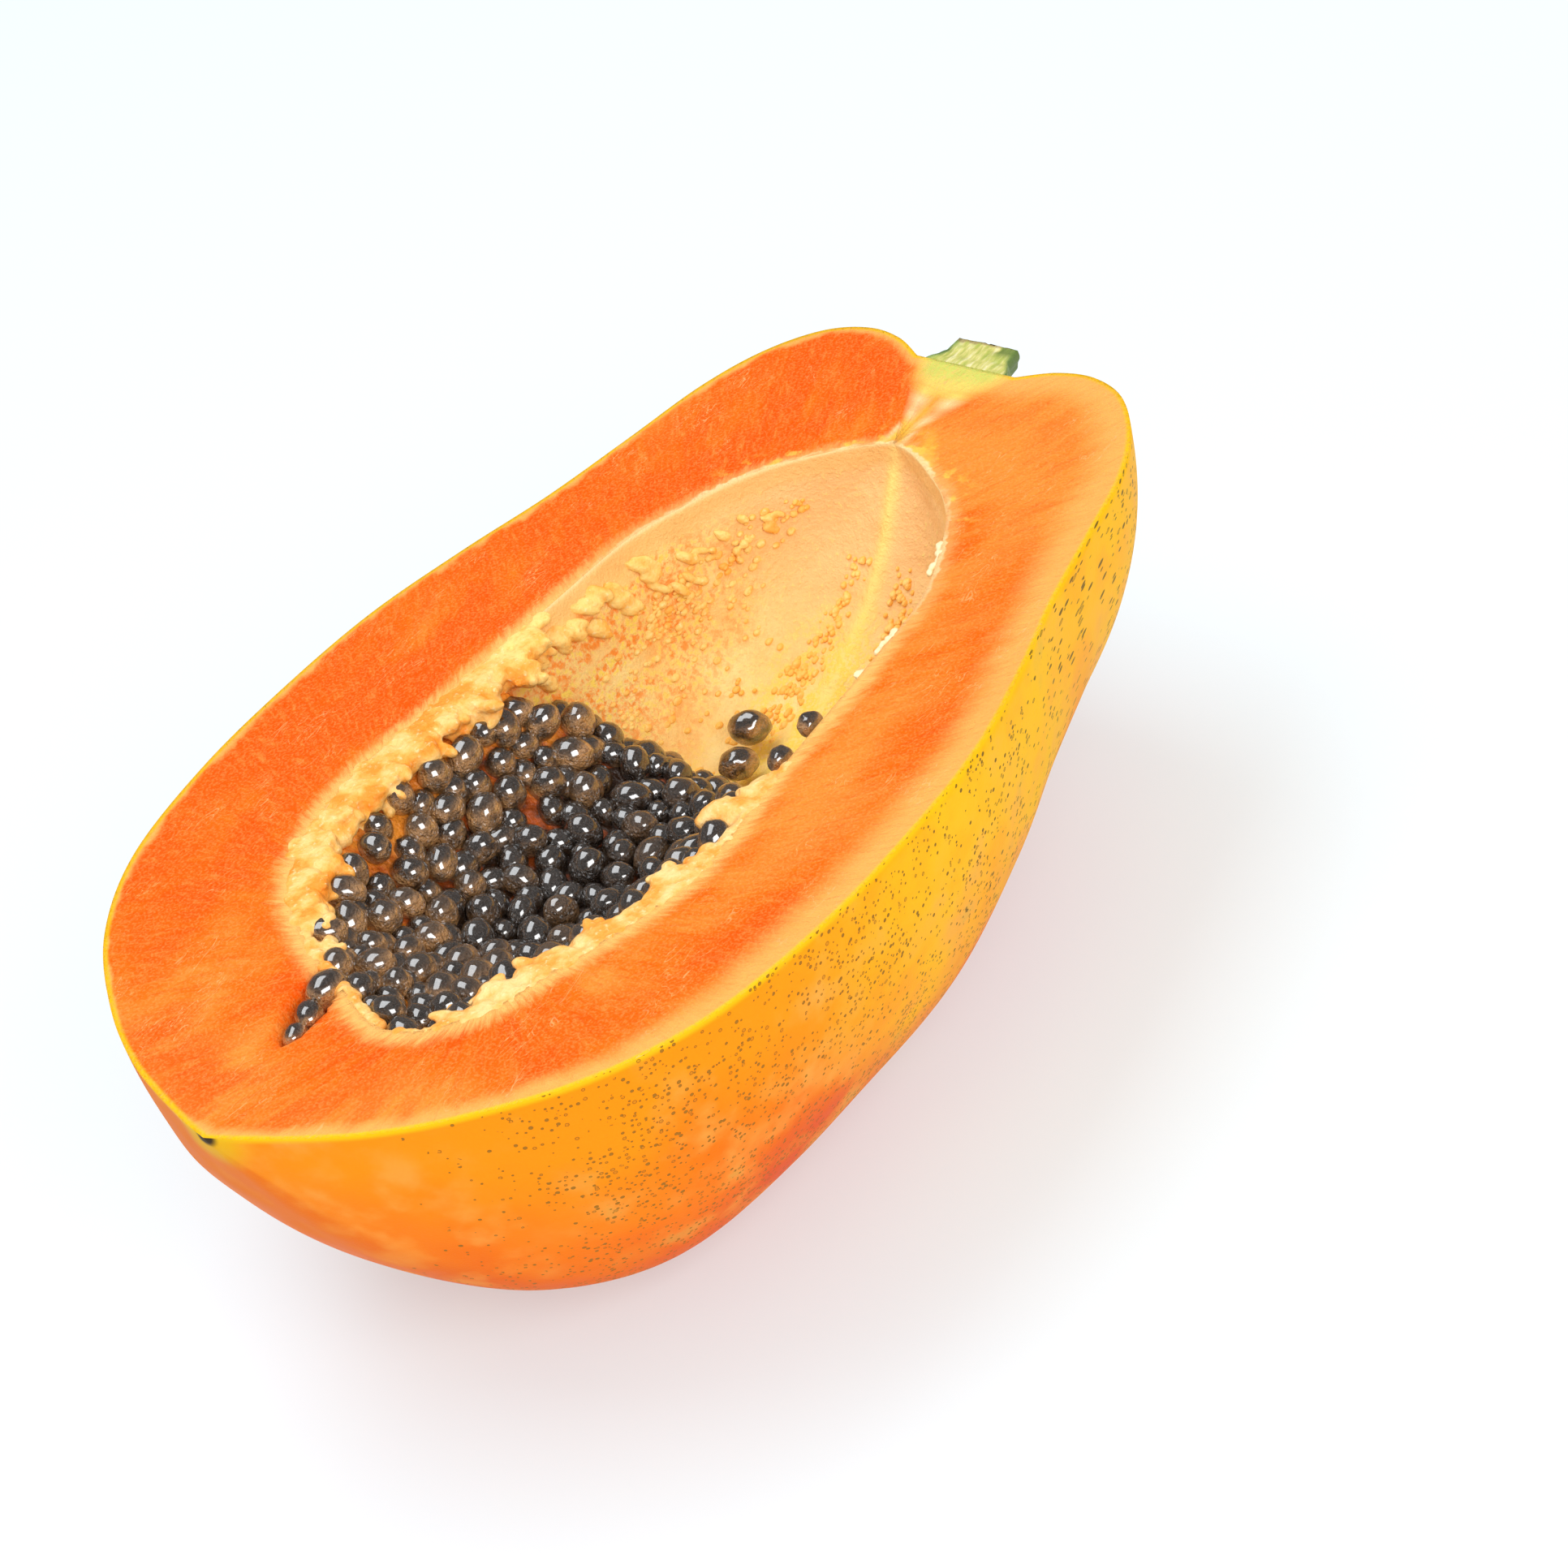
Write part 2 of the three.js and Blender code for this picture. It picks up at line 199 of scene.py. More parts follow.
def skin_ridge(x, angle):
    """Height of the five soft ridges of the skin, as a share of the radius."""
    step = 360 / RIDGES
    twisted = SKIN_RIDGE_ANGLE + RIDGE_TWIST * np.exp(-x / TWIST_REACH)
    turn = np.mod(angle - twisted, step)
    away = np.minimum(turn, step - turn)
    height = BODY_RIDGE + TIP_RIDGE * np.exp(-x / TIP_RIDGE_REACH)
    height = height + SHOULDER_RIDGE * smooth(SHOULDER_FROM, SHOULDER_TO, x)
    return height * (bell(0, RIDGE_HALF_ANGLE, away) - 0.25)


def rough(points, scale, seed=0.0):
    """Smooth noise from -1 to 1 at each point, with lumps about scale millimetres across."""
    shift = Vector((seed * 7.3, seed * 3.1, seed * 1.7))
    return np.array([noise.noise(Vector(p) / scale + shift) for p in points.tolist()])


# Meshes


def grid_faces(rows, columns, start=0):
    """Quads of a grid of points stored row by row."""
    index = start + np.arange(rows * columns).reshape(rows, columns)
    quads = [index[:-1, :-1], index[1:, :-1], index[1:, 1:], index[:-1, 1:]]
    return np.stack([q.ravel() for q in quads], 1)


def clear_of_limits(points):
    """Keeps points inside the solids' own box."""
    low, high = np.array(CAD_LOW) / MM - ORIGIN, np.array(CAD_HIGH) / MM - ORIGIN
    return np.clip(points, low, high)


def add_piece(name, points, faces, materials, slots=None, values=None, weld=0.0):
    """An object from points in millimetres, riding on the one body."""
    mesh = bpy.data.meshes.new(name)
    placed = (clear_of_limits(np.asarray(points)) + ORIGIN) * MM
    mesh.from_pydata(placed.tolist(), [], [list(map(int, f)) for f in faces])
    for material in materials:
        mesh.materials.append(material)
    if slots is not None:
        mesh.polygons.foreach_set("material_index", np.asarray(slots, dtype=np.int32))
    for key, data in (values or {}).items():
        layer = mesh.attributes.new(key, "FLOAT", "POINT")
        layer.data.foreach_set("value", np.asarray(data, dtype=np.float32))
    bm = bmesh.new()
    bm.from_mesh(mesh)
    if weld:
        bmesh.ops.remove_doubles(bm, verts=bm.verts, dist=weld * MM)
        bmesh.ops.dissolve_degenerate(bm, edges=bm.edges, dist=weld * MM)
    bmesh.ops.recalc_face_normals(bm, faces=bm.faces)
    for face in bm.faces:
        face.smooth = True
    bm.to_mesh(mesh)
    bm.free()
    piece = bpy.data.objects.new(name, mesh)
    bpy.context.collection.objects.link(piece)
    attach(piece, "root")
    return piece


def ball(detail):
    """Points and triangles of a unit ball."""
    bm = bmesh.new()
    bmesh.ops.create_icosphere(bm, subdivisions=detail, radius=1)
    bm.verts.ensure_lookup_table()
    points = np.array([v.co[:] for v in bm.verts])
    faces = np.array([[v.index for v in f.verts] for f in bm.faces])
    bm.free()
    return points, faces


def gathered(bodies):
    """Several (points, faces) as one."""
    points, faces, start = [], [], 0
    for p, f in bodies:
        points.append(p)
        faces.append(f + start)
        start += len(p)
    return np.concatenate(points), np.concatenate(faces)


def turned(points, about_y, about_z):
    turn = Matrix.Rotation(about_z, 3, "Z") @ Matrix.Rotation(about_y, 3, "Y")
    return points @ np.array(turn).T


def fused(name, bodies, voxel, materials):
    """Bodies grown together into one skin of even small faces."""
    points, faces = gathered(bodies)
    rough_piece = add_piece(name + "_raw", points, faces, materials)
    remesh = rough_piece.modifiers.new("grow", "REMESH")
    remesh.mode = "VOXEL"
    remesh.voxel_size = voxel * MM
    soften = rough_piece.modifiers.new("soften", "SMOOTH")
    soften.iterations = 3
    soften.factor = 0.5
    graph = bpy.context.evaluated_depsgraph_get()
    mesh = bpy.data.meshes.new_from_object(rough_piece.evaluated_get(graph))
    mesh.name = name
    bpy.data.objects.remove(rough_piece)
    for polygon in mesh.polygons:
        polygon.use_smooth = True
    piece = bpy.data.objects.new(name, mesh)
    bpy.context.collection.objects.link(piece)
    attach(piece, "root")
    return piece


# Materials


class Finish:
    """A node material, built by short calls. Coordinates are in millimetres."""

    def __init__(self, name):
        self.material = bpy.data.materials.new(name)
        self.material.use_nodes = True
        self.tree = self.material.node_tree
        self.shader = self.tree.nodes["Principled BSDF"]
        self.place = self.stretched((1, 1, 1))
        self.axes = self.node("ShaderNodeSeparateXYZ", {"Vector": self.place}).outputs

    def node(self, kind, inputs=None, **settings):
        made = self.tree.nodes.new(kind)
        for key, value in settings.items():
            setattr(made, key, value)
        for key, value in (inputs or {}).items():
            self.feed(made.inputs[key], value)
        return made

    def feed(self, socket, value):
        if isinstance(value, bpy.types.NodeSocket):
            self.tree.links.new(value, socket)
        else:
            socket.default_value = value

    def stretched(self, scale):
        """Object coordinates in millimetres, with each axis scaled."""
        where = self.node("ShaderNodeTexCoord").outputs["Object"]
        scale = tuple(s / MM for s in scale)
        return self.node("ShaderNodeMapping", {"Vector": where, "Scale": scale}).outputs[0]

    def noise(self, size, detail=3.0, place=None, roughness=0.5, distortion=0.0):
        inputs = {
            "Vector": place or self.place,
            "Scale": 1 / size,
            "Detail": detail,
            "Roughness": roughness,
            "Distortion": distortion,
        }
        return self.node("ShaderNodeTexNoise", inputs).outputs["Fac"]

    def value(self, name):
        return self.node("ShaderNodeAttribute", attribute_name=name).outputs["Fac"]

    def math(self, operation, a, b=0.0):
        return self.node("ShaderNodeMath", {0: a, 1: b}, operation=operation).outputs[0]

    def plus(self, a, b):
        return self.math("ADD", a, b)

    def minus(self, a, b):
        return self.math("SUBTRACT", a, b)

    def times(self, product, *factors):
        for factor in factors:
            product = self.math("MULTIPLY", product, factor)
        return product

    def centred(self, noise, amount):
        """A noise that swings evenly about zero."""
        return self.times(self.minus(noise, 0.5), amount)

    def span(self, value, low, high, start=0.0, end=1.0):
        """Maps low..high of a value smoothly on start..end."""
        inputs = {"Value": value, "From Min": low, "From Max": high, "To Min": start, "To Max": end}
        made = self.node("ShaderNodeMapRange", inputs, interpolation_type="SMOOTHSTEP")
        return made.outputs[0]

    def mix(self, share, a, b, blend="MIX"):
        a, b = (c if isinstance(c, bpy.types.NodeSocket) else (*c, 1.0) for c in (a, b))
        made = self.node("ShaderNodeMix", data_type="RGBA", blend_type=blend)
        for index, value in ((0, share), (6, a), (7, b)):
            self.feed(made.inputs[index], value)
        return made.outputs[2]

    def ramp(self, value, stops):
        made = self.node("ShaderNodeValToRGB", {"Fac": value})
        elements = made.color_ramp.elements
        while len(elements) < len(stops):
            elements.new(0.5)
        for element, (position, colour) in zip(elements, stops):
            element.position = position
            element.color = (*colour, 1.0)
        return made.outputs["Color"]

    def bump(self, height, depth, normal=None):
        inputs = {"Height": height, "Strength": 1.0, "Distance": depth * MM}
        made = self.node("ShaderNodeBump", inputs)
        if normal:
            self.feed(made.inputs["Normal"], normal)
        return made.outputs[0]

    def done(self, **inputs):
        for key, value in inputs.items():
            self.feed(self.shader.inputs[key.replace("_", " ")], value)
        return self.material


# The finishes take their colours as linear red, green and blue, and their sizes in millimetres

WET = 1.4
FLESH_DEEP = (0.95, 0.095, 0.001)
FLESH_PLAIN = (0.95, 0.15, 0.004)
FLESH_LIGHT = (0.96, 0.25, 0.03)
PEACH = (0.96, 0.4, 0.09)
RIM_YELLOW = (0.97, 0.53, 0.01)
SKIN_COLOURS = [(0.12, (0.93, 0.27, 0.006)), (0.5, (0.91, 0.2, 0.006)), (0.95, (0.8, 0.085, 0.002))]
SPECK_SCALE = 1.15
RIB_ANGLE = 93


def flesh_fibres(f, side):
    """A broad and a fine noise, drawn out along the fibres that run from the cavity to the skin."""
    reach = f.times(f.value("fibre_reach"), 0.2)
    inputs = {"X": f.value("fibre_run"), "Y": reach, "Z": f.times(side, 9.0)}
    place = f.node("ShaderNodeCombineXYZ", inputs).outputs[0]
    return f.noise(5, 4.0, place), f.noise(1.1, 5.0, place, 0.65, 0.4)


def flesh_orange(f, fan, fine, side, along, skin):
    """Orange from deep to light, deeper in a zone inside the skin and in streaks at the tip."""
    cloud = f.noise(17, 4.0, f.stretched((0.5, 1, 1)))
    mood = f.plus(f.times(cloud, 0.65), f.times(fan, 0.35))
    mood = f.minus(mood, f.span(side, -0.5, 0.6, 0.02, 0.075))
    mood = f.plus(mood, f.span(along, 34, 8, 0, 0.13))
    at_stem = f.times(f.span(along, 150, 180), f.span(side, 0.1, -0.3, 0, 0.19))
    mood = f.plus(mood, at_stem)
    orange = f.ramp(mood, [(0.38, FLESH_DEEP), (0.49, FLESH_PLAIN), (0.6, FLESH_LIGHT)])
    away = f.math("ABSOLUTE", f.minus(skin, f.span(side, -0.6, 0.6, 12, 6)))
    zone = f.times(f.span(away, 8, 1), f.span(fan, 0.38, 0.6), f.span(side, -0.6, 0.3, 0.35, 0.7))
    orange = f.mix(zone, orange, FLESH_DEEP)
    at_tip = f.times(f.span(along, 30, 8), f.span(fan, 0.42, 0.58), 0.6)
    orange = f.mix(at_tip, orange, (0.94, 0.09, 0.001))
    orange = f.mix(f.span(fine, 0.5, 0.76, 0, 0.5), orange, (0.96, 0.31, 0.055))
    return f.mix(f.span(fine, 0.46, 0.3, 0, 0.35), orange, (0.92, 0.08, 0.001))


def flesh_at_skin(f, colour, fan, side, along, skin):
    """The peach band and the yellow line along the skin."""
    band = f.times(f.span(side, -0.55, 0.55, 8.5, 2.0), f.span(along, 8, 70, 0.45, 1))
    depth = f.math("DIVIDE", f.plus(skin, f.centred(fan, 5.0)), band)
    colour = f.mix(f.span(depth, 0.25, 1.1), PEACH, colour)
    return f.mix(f.span(skin, 0.35, 1.2), RIM_YELLOW, colour)


def flesh_at_cavity(f, colour, fine, along, cavity):
    """A pale halo round the cavity, and yellow spots near its stem end."""
    cream = f.value("cream")
    soft = f.plus(cavity, f.centred(fine, 6.0))
    pale = f.times(f.span(soft, 4.2, 0.6), f.minus(1.0, cream), 0.85)
    colour = f.mix(pale, colour, (0.98, 0.56, 0.16))
    halo = f.times(f.span(soft, 3.4, 0.8), cream, 0.6)
    colour = f.mix(halo, colour, (0.97, 0.44, 0.13))
    spots = f.times(f.span(f.noise(3, 3.0), 0.56, 0.66), f.span(cavity, 7, 1))
    spots = f.times(spots, f.span(along, 158, 168), 0.7)
    return f.mix(spots, colour, (0.97, 0.6, 0.08))


def flesh_at_stem(f, colour, fine, side, along, cavity):
    """The yellow Y under the stem, its pale borders, the cream rim line and green by the stem."""
    strand = f.times(f.value("strand"), f.span(fine, 0.25, 0.5, 0.55, 1))
    yolk = f.mix(f.span(along, 188, 200), (0.96, 0.56, 0.06), (0.93, 0.68, 0.16))
    colour = f.mix(strand, colour, yolk)
    ragged = f.plus(cavity, f.centred(f.noise(1.6, 3.0), 2.4))
    line = f.times(f.span(ragged, 1.1, 0.4), f.span(f.noise(6, 2.0), 0.36, 0.54, 0.25, 1))
    line = f.times(line, f.value("cream"))
    line = f.times(f.math("MAXIMUM", line, f.value("border")), 0.9)
    colour = f.mix(line, colour, (0.97, 0.7, 0.34))
    near_stem = f.span(f.minus(along, f.times(fine, 5.0)), 192, 200)
    green = f.times(near_stem, f.span(f.math("ABSOLUTE", side), 0.24, 0.12), 0.9)
    return f.mix(green, colour, (0.56, 0.62, 0.12))


def flesh_hairs(f, colour, grain):
    """Fine pale hairs and grains over all of the flesh."""
    scratch = f.noise(5, 2.0, f.stretched((0.4, 1.8, 1)), 0.5, 1.8)
    hair = f.math("ABSOLUTE", f.minus(scratch, 0.5))
    hair = f.times(f.span(hair, 0.012, 0.0), f.span(f.noise(9, 1.0), 0.5, 0.64), 0.6)
    colour = f.mix(hair, colour, (0.98, 0.5, 0.2))
    return f.mix(f.span(grain, 0.4, 0.72, 0, 0.3), colour, (0.98, 0.42, 0.12))


def face_finish():
    """The cut flesh: a yellow line at the skin, a peach band, then orange with fine fibres."""
    f = Finish("papaya_cut_flesh")
    skin, cavity, side, along = (f.value(n) for n in ("skin_mm", "cavity_mm", "side", "along_mm"))
    fan, fine = flesh_fibres(f, side)
    grain = f.noise(0.45, 3.0)
    colour = flesh_orange(f, fan, fine, side, along, skin)
    colour = flesh_at_skin(f, colour, fan, side, along, skin)
    colour = flesh_at_cavity(f, colour, fine, along, cavity)
    colour = flesh_at_stem(f, colour, fine, side, along, cavity)
    colour = flesh_hairs(f, colour, grain)
    relief = f.bump(grain, 0.2, f.bump(fine, 0.5))
    return f.done(
        Base_Color=colour, Normal=relief, Roughness=f.span(grain, 0.3, 0.7, 0.4, 0.6), IOR=WET,
        Specular_IOR_Level=0.05,
        Subsurface_Weight=0.06, Subsurface_Radius=(1.0, 0.35, 0.1), Subsurface_Scale=2 * MM,
    )


def skin_ground(f, cloud, patch, under, along):
    """Orange, yellow towards the stem, with pink clouds, painted shade on the facet below a ridge near the
    tip, and a yellow rim.
    """
    level = f.plus(f.math("DIVIDE", under, 62.0), f.centred(cloud, 1.1))
    base = f.ramp(level, SKIN_COLOURS)
    yellow = f.times(f.span(along, 45, 110), f.span(level, 1.0, 0.35))
    yellow = f.times(yellow, f.span(patch, 0.3, 0.6, 0.65, 1))
    base = f.mix(yellow, base, (0.95, 0.49, 0.01))
    # Painted shade: a darker band on the facet just below the ridge near the tip, where the skin turns away
    # from the light.
    painted_facet_shade = f.times(f.span(f.value("angle"), 56, 64), f.span(along, 75, 40), 0.6)
    base = f.mix(painted_facet_shade, base, (0.78, 0.12, 0.002))
    pink = f.times(f.span(patch, 0.42, 0.7, 0, 0.6), f.span(cloud, 0.36, 0.6))
    base = f.mix(pink, base, (0.95, 0.38, 0.07))
    return f.mix(f.span(under, 1.3, 0.1, 0, 0.85), base, (0.96, 0.53, 0.008))


def skin_specks(f, along):
    """The specks, the distance from their middles, and how crowded they are."""
    crowd = f.times(f.span(along, 10, 36), f.span(f.noise(11, 2.0), 0.38, 0.58, 0.3, 1))
    crowd = f.times(crowd, f.span(along, 40, 110, 1, 0.85))
    x, y, z = f.axes
    longer = f.times(x, f.span(along, 90, 180, 1.0, 0.42))
    drawn = f.node("ShaderNodeCombineXYZ", {"X": longer, "Y": y, "Z": z}).outputs[0]
    dots = f.node("ShaderNodeTexVoronoi", {"Vector": drawn, "Scale": SPECK_SCALE}).outputs
    chance = f.node("ShaderNodeSeparateColor", {"Color": dots["Color"]}).outputs
    speck = f.math("LESS_THAN", chance[0], f.times(crowd, 0.85))
    ring = f.minus(dots["Distance"], f.plus(0.17, f.times(chance[1], 0.26)))
    speck = f.times(speck, f.span(ring, 0.04, -0.05))
    hollow = f.times(f.span(ring, -0.06, -0.12), f.math("GREATER_THAN", chance[2], 0.55), 0.6)
    return f.math("MAXIMUM", f.minus(speck, hollow), 0.0), dots["Distance"], crowd


def skin_finish():
    """The skin: yellow under the rim, orange below, with olive specks that thin out to the tip."""
    f = Finish("papaya_skin")
    under, along, tip = f.value("under_mm"), f.value("along_mm"), f.value("tip_mm")
    cloud, patch = f.noise(30, 3.0), f.noise(9, 4.0)
    base = skin_ground(f, cloud, patch, under, along)
    speck, away, crowd = skin_specks(f, along)
    fleck = f.times(f.span(away, 0.22, 0.12), f.span(patch, 0.42, 0.6), crowd, 0.5)
    base = f.mix(fleck, base, (0.5, 0.24, 0.02))
    smudge = f.times(f.span(patch, 0.6, 0.74), crowd, 0.35)
    base = f.mix(smudge, base, (0.5, 0.4, 0.08))
    olive = f.mix(f.span(along, 50, 120), (0.3, 0.14, 0.018), (0.14, 0.09, 0.018))
    base = f.mix(f.times(speck, 0.9), base, olive)
    base = f.mix(f.span(tip, 9, 3, 0, 0.75), base, (0.8, 0.47, 0.01))
    base = f.mix(f.span(tip, 2.6, 1.2), base, (0.05, 0.03, 0.012))
    pores = f.minus(f.noise(0.5, 2.0), f.times(speck, 2.0))
    relief = f.bump(pores, 0.05, f.bump(cloud, 0.4))
    return f.done(
        Base_Color=base, Normal=relief, Roughness=f.span(patch, 0.3, 0.7, 0.4, 0.55), IOR=WET,
        Specular_IOR_Level=0.04,
        Subsurface_Weight=0.06, Subsurface_Radius=(1.0, 0.4, 0.1), Subsurface_Scale=2 * MM,
    )


def wall_crumbs(f, base, grain, along, angle, below):
    """Golden crumbs beside the rib, and orange-red and yellow ones below the far rim."""
    streak = f.noise(3.5, 3.0, f.stretched((0.3, 1, 1)))
    beside = f.math("ABSOLUTE", f.minus(angle, RIB_ANGLE))
    golden = f.times(f.span(beside, 30, 12), f.span(along, 170, 150), f.span(grain, 0.4, 0.56))
    golden = f.times(golden, f.span(streak, 0.38, 0.54), 0.8)
    base = f.mix(golden, base, (1.0, 0.68, 0.06))
    red = f.times(f.span(angle, 108, 146), f.span(streak, 0.3, 0.5), f.span(below, 3.0, 6.0))
    red = f.times(red, f.span(along, 168, 140))
    crumb = f.noise(1.2, 3.0, None, 0.6)
    base = f.mix(f.times(red, f.span(crumb, 0.5, 0.36)), base, (1.0, 0.7, 0.12))
    return f.mix(f.times(red, f.span(crumb, 0.44, 0.64, 0, 0.9)), base, (0.97, 0.26, 0.02))


def wall_finish():
    """The lining of the cavity: pale peach and yellow, grainy, orange down in the hollow."""
    f = Finish("papaya_cavity_lining")
    along, angle, below = f.value("along_mm"), f.value("angle"), f.value("under_mm")
    cloud = f.noise(11, 4.0)
    grain = f.noise(0.9, 4.0, None, 0.7)
    stops = [(0.34, (1.0, 0.53, 0.16)), (0.5, (1.0, 0.65, 0.23)), (0.68, (1.0, 0.76, 0.31))]
    base = f.ramp(cloud, stops)
    base = f.mix(f.span(along, 145, 172, 0, 0.75), base, (1.0, 0.56, 0.24))
    base = f.mix(f.times(f.value("rib"), 0.75), base, (1.0, 0.8, 0.22))
    base = wall_crumbs(f, base, grain, along, angle, below)
    base = f.mix(f.span(grain, 0.55, 0.7, 0, 0.6), base, (1.0, 0.78, 0.24))
    base = f.mix(f.span(grain, 0.42, 0.28, 0, 0.35), base, (0.94, 0.42, 0.08))
    base = f.mix(f.times(f.span(along, 118, 88), 0.85), base, (0.85, 0.2, 0.02))
    base = f.mix(f.span(below, 5.0, 2.5, 0, 0.7), base, (1.0, 0.54, 0.17))
    base = f.mix(f.span(below, 0.8, 0.1, 0, 0.7), base, (1.0, 0.75, 0.35))
    relief = f.bump(grain, 0.5, f.bump(cloud, 0.8))
    return f.done(Base_Color=base, Normal=relief, Roughness=0.45, IOR=WET, Specular_IOR_Level=0.2)


def pulp_finish():
    """The ragged pulp, its knobs and crumbs: cream and yellow, moist, white on the near rim."""
    f = Finish("papaya_pulp")
    cloud = f.noise(4, 4.0)
    grain = f.noise(0.8, 4.0)
    x, y, z = f.axes
    warm = f.ramp(cloud, [(0.38, (0.97, 0.31, 0.03)), (0.5, (0.98, 0.46, 0.09)), (0.62, (0.98, 0.6, 0.2))])
    cream = f.ramp(cloud, [(0.38, (0.97, 0.36, 0.05)), (0.49, (0.98, 0.5, 0.13)), (0.62, (0.98, 0.64, 0.25))])
    on_wall = f.ramp(cloud, [(0.36, (1.0, 0.47, 0.08)), (0.56, (1.0, 0.66, 0.2))])
    base = f.mix(f.span(y, 0.0, 20.0), cream, warm)
    base = f.mix(f.span(x, 0.0, 8.0), base, on_wall)
    base = f.mix(f.span(grain, 0.56, 0.75, 0, 0.5), base, (0.99, 0.84, 0.45))
    base = f.mix(f.span(grain, 0.44, 0.3, 0, 0.35), base, (0.98, 0.36, 0.03))
    white = f.times(f.span(x, 9.0, 12.0), f.span(y, -8.0, -12.0), f.span(z, 68.0, 69.0))
    base = f.mix(white, base, (1.0, 0.78, 0.45))
    # Painted shade, partly real: the low foot of each wall grain is coloured orange, as its shaded side
    # looks, which also blends it into the wall.
    base = f.mix(f.value("sunk"), base, (1.0, 0.53, 0.1))
    relief = f.bump(grain, 0.35, f.bump(cloud, 0.5))
    return f.done(Base_Color=base, Normal=relief, Roughness=0.38, IOR=WET, Specular_IOR_Level=0.3)


# SEED_LIGHT is the olive brown that is painted on the seeds' sides as light through the clear coat, and that
# lighter seeds take on as their own tone.
SEED_DARK = (0.026, 0.013, 0.006)
SEED_LIGHT = (0.56, 0.28, 0.1)


def seed_finish():
    """Wet seeds: nearly black on top, with olive brown painted on the sides for light seen through the clear
    coat edge-on, and painted shade on seeds down in the hollow.
    """
    f = Finish("papaya_seed")
    # Painted light and shade: olive brown on each seed's sides for light through the clear coat, less of it
    # on seeds down in the hollow.
    share = f.times(f.span(f.noise(2.2, 3.0), 0.3, 0.7, 0.3, 1), f.value("side_light_and_hollow_shade"))
    share = f.plus(share, f.times(f.minus(f.value("tint"), 0.4), 0.4))
    base = f.mix(f.span(share, 0.0, 1.0), SEED_DARK, SEED_LIGHT)
    relief = f.bump(f.noise(0.4, 2.0), 0.25, f.bump(f.noise(0.8, 2.5), 1.0))
    return f.done(
        Base_Color=base, Normal=relief, Roughness=0.3, IOR=1.5,
        Coat_Weight=1.0, Coat_Roughness=0.1, Coat_IOR=2.3,
        Subsurface_Weight=0.1, Subsurface_Radius=(1.0, 0.5, 0.2), Subsurface_Scale=1 * MM,
    )


def bed_finish():
    """The wet pulp under the seeds: orange at the rim, turned nearly black by painted shade down in the
    hollow.
    """
    f = Finish("papaya_seed_bed")
    # Painted shade: the deeper the bed lies, the darker it is coloured, down to nearly black.
    level = f.plus(f.math("DIVIDE", f.value("under_mm"), 40.0), f.centred(f.noise(5, 3.0), 1.0))
    stops = [(0.1, (0.9, 0.3, 0.03)), (0.3, (0.5, 0.09, 0.01)), (0.45, (0.03, 0.012, 0.005))]
    relief = f.bump(f.noise(1.5, 4.0), 1.2)
    return f.done(Base_Color=f.ramp(level, stops), Normal=relief, Roughness=0.3, IOR=WET)


def stem_finish():
    """Green outside with a pale, fibrous cut face and a brown end."""
    f = Finish("papaya_stem")
    edge, along = f.value("edge_mm"), f.value("along_mm")
    fibre = f.noise(1.1, 5.0, f.stretched((0.25, 1.3, 1)))
    cloud = f.noise(3, 3.0)
    stops = [(0.35, (0.42, 0.46, 0.08)), (0.52, (0.66, 0.6, 0.18)), (0.68, (0.82, 0.76, 0.4))]
    pale = f.mix(f.span(cloud, 0.45, 0.7, 0, 0.6), f.ramp(fibre, stops), (0.36, 0.46, 0.06))
    green = f.mix(f.span(cloud, 0.4, 0.65), (0.12, 0.2, 0.045), (0.3, 0.4, 0.1))
    base = f.mix(f.span(edge, 0.5, 1.5), green, pale)
    patch = f.times(f.span(f.axes[1], -1.5, -4.0), f.span(along, 3.5, 5.5), f.span(cloud, 0.36, 0.5))
    base = f.mix(f.times(patch, 0.8), base, (0.1, 0.17, 0.03))
    brown = f.span(f.plus(along, f.times(fibre, 1.5)), 7.2, 7.8)
    base = f.mix(f.times(brown, 0.7), base, (0.3, 0.19, 0.08))
    relief = f.bump(fibre, 0.6, f.bump(cloud, 0.5))
    return f.done(Base_Color=base, Normal=relief, Roughness=0.55, IOR=1.4)


# The fruit

REPEATED_END = 2
SKIN_WAVE, SKIN_WAVE_SIZE = 0.004, 24
RIB_HEIGHT = 0.9
LINING_LUMPS = [(0.35, 5, 0), (0.2, 2.2, 1), (0.16, 1.2, 2)]
DIP_DEPTH, DIP_SIZE = 0.14, 3.5
FACE_SLOT = 2
HALF_FACE = 45
CREAM_FROM, CREAM_TO = 118, 165


def fruit_profiles():
    """Outer and inner outlines with as many points as each other, and the closing seat."""
    outer = profile(FRUIT_OUTLINE, HALF_WIDTH, PROFILE_STEPS)
    seat = np.array([[STEM_SEAT * LENGTH, outer[-1, 1] / 2], [STEM_SEAT * LENGTH, 0]])
    inner = profile(CAVITY_OUTLINE, CAVITY_WIDTH, PROFILE_STEPS)
    end = np.repeat(inner[-1:], REPEATED_END, 0)
    return np.concatenate([outer, seat]), np.concatenate([inner, end])


def skin_points(outer):
    angle = np.linspace(0, 180, SKIN_ROUND)[None, :]
    x, radius = outer[:, :1], np.maximum(outer[:, 1:], 0)
    full = radius * (1 + skin_ridge(x, angle))
    y = -full * np.cos(np.radians(angle))
    z = -full * depth_ratio(x) * np.sin(np.radians(angle))
    x = x + SHOULDER_LEAN * y * smooth(SHOULDER_FROM, SHOULDER_TO, x)
    points = np.stack(np.broadcast_arrays(x, y, z), -1)
    waves = rough(points.reshape(-1, 3), SKIN_WAVE_SIZE).reshape(z.shape) * np.sin(np.radians(angle))
    points = points * (1 + SKIN_WAVE * waves[..., None] * [0, 1, 1])
    points[..., 2] = np.maximum(points[..., 2], -STANDING_HEIGHT)
    return points


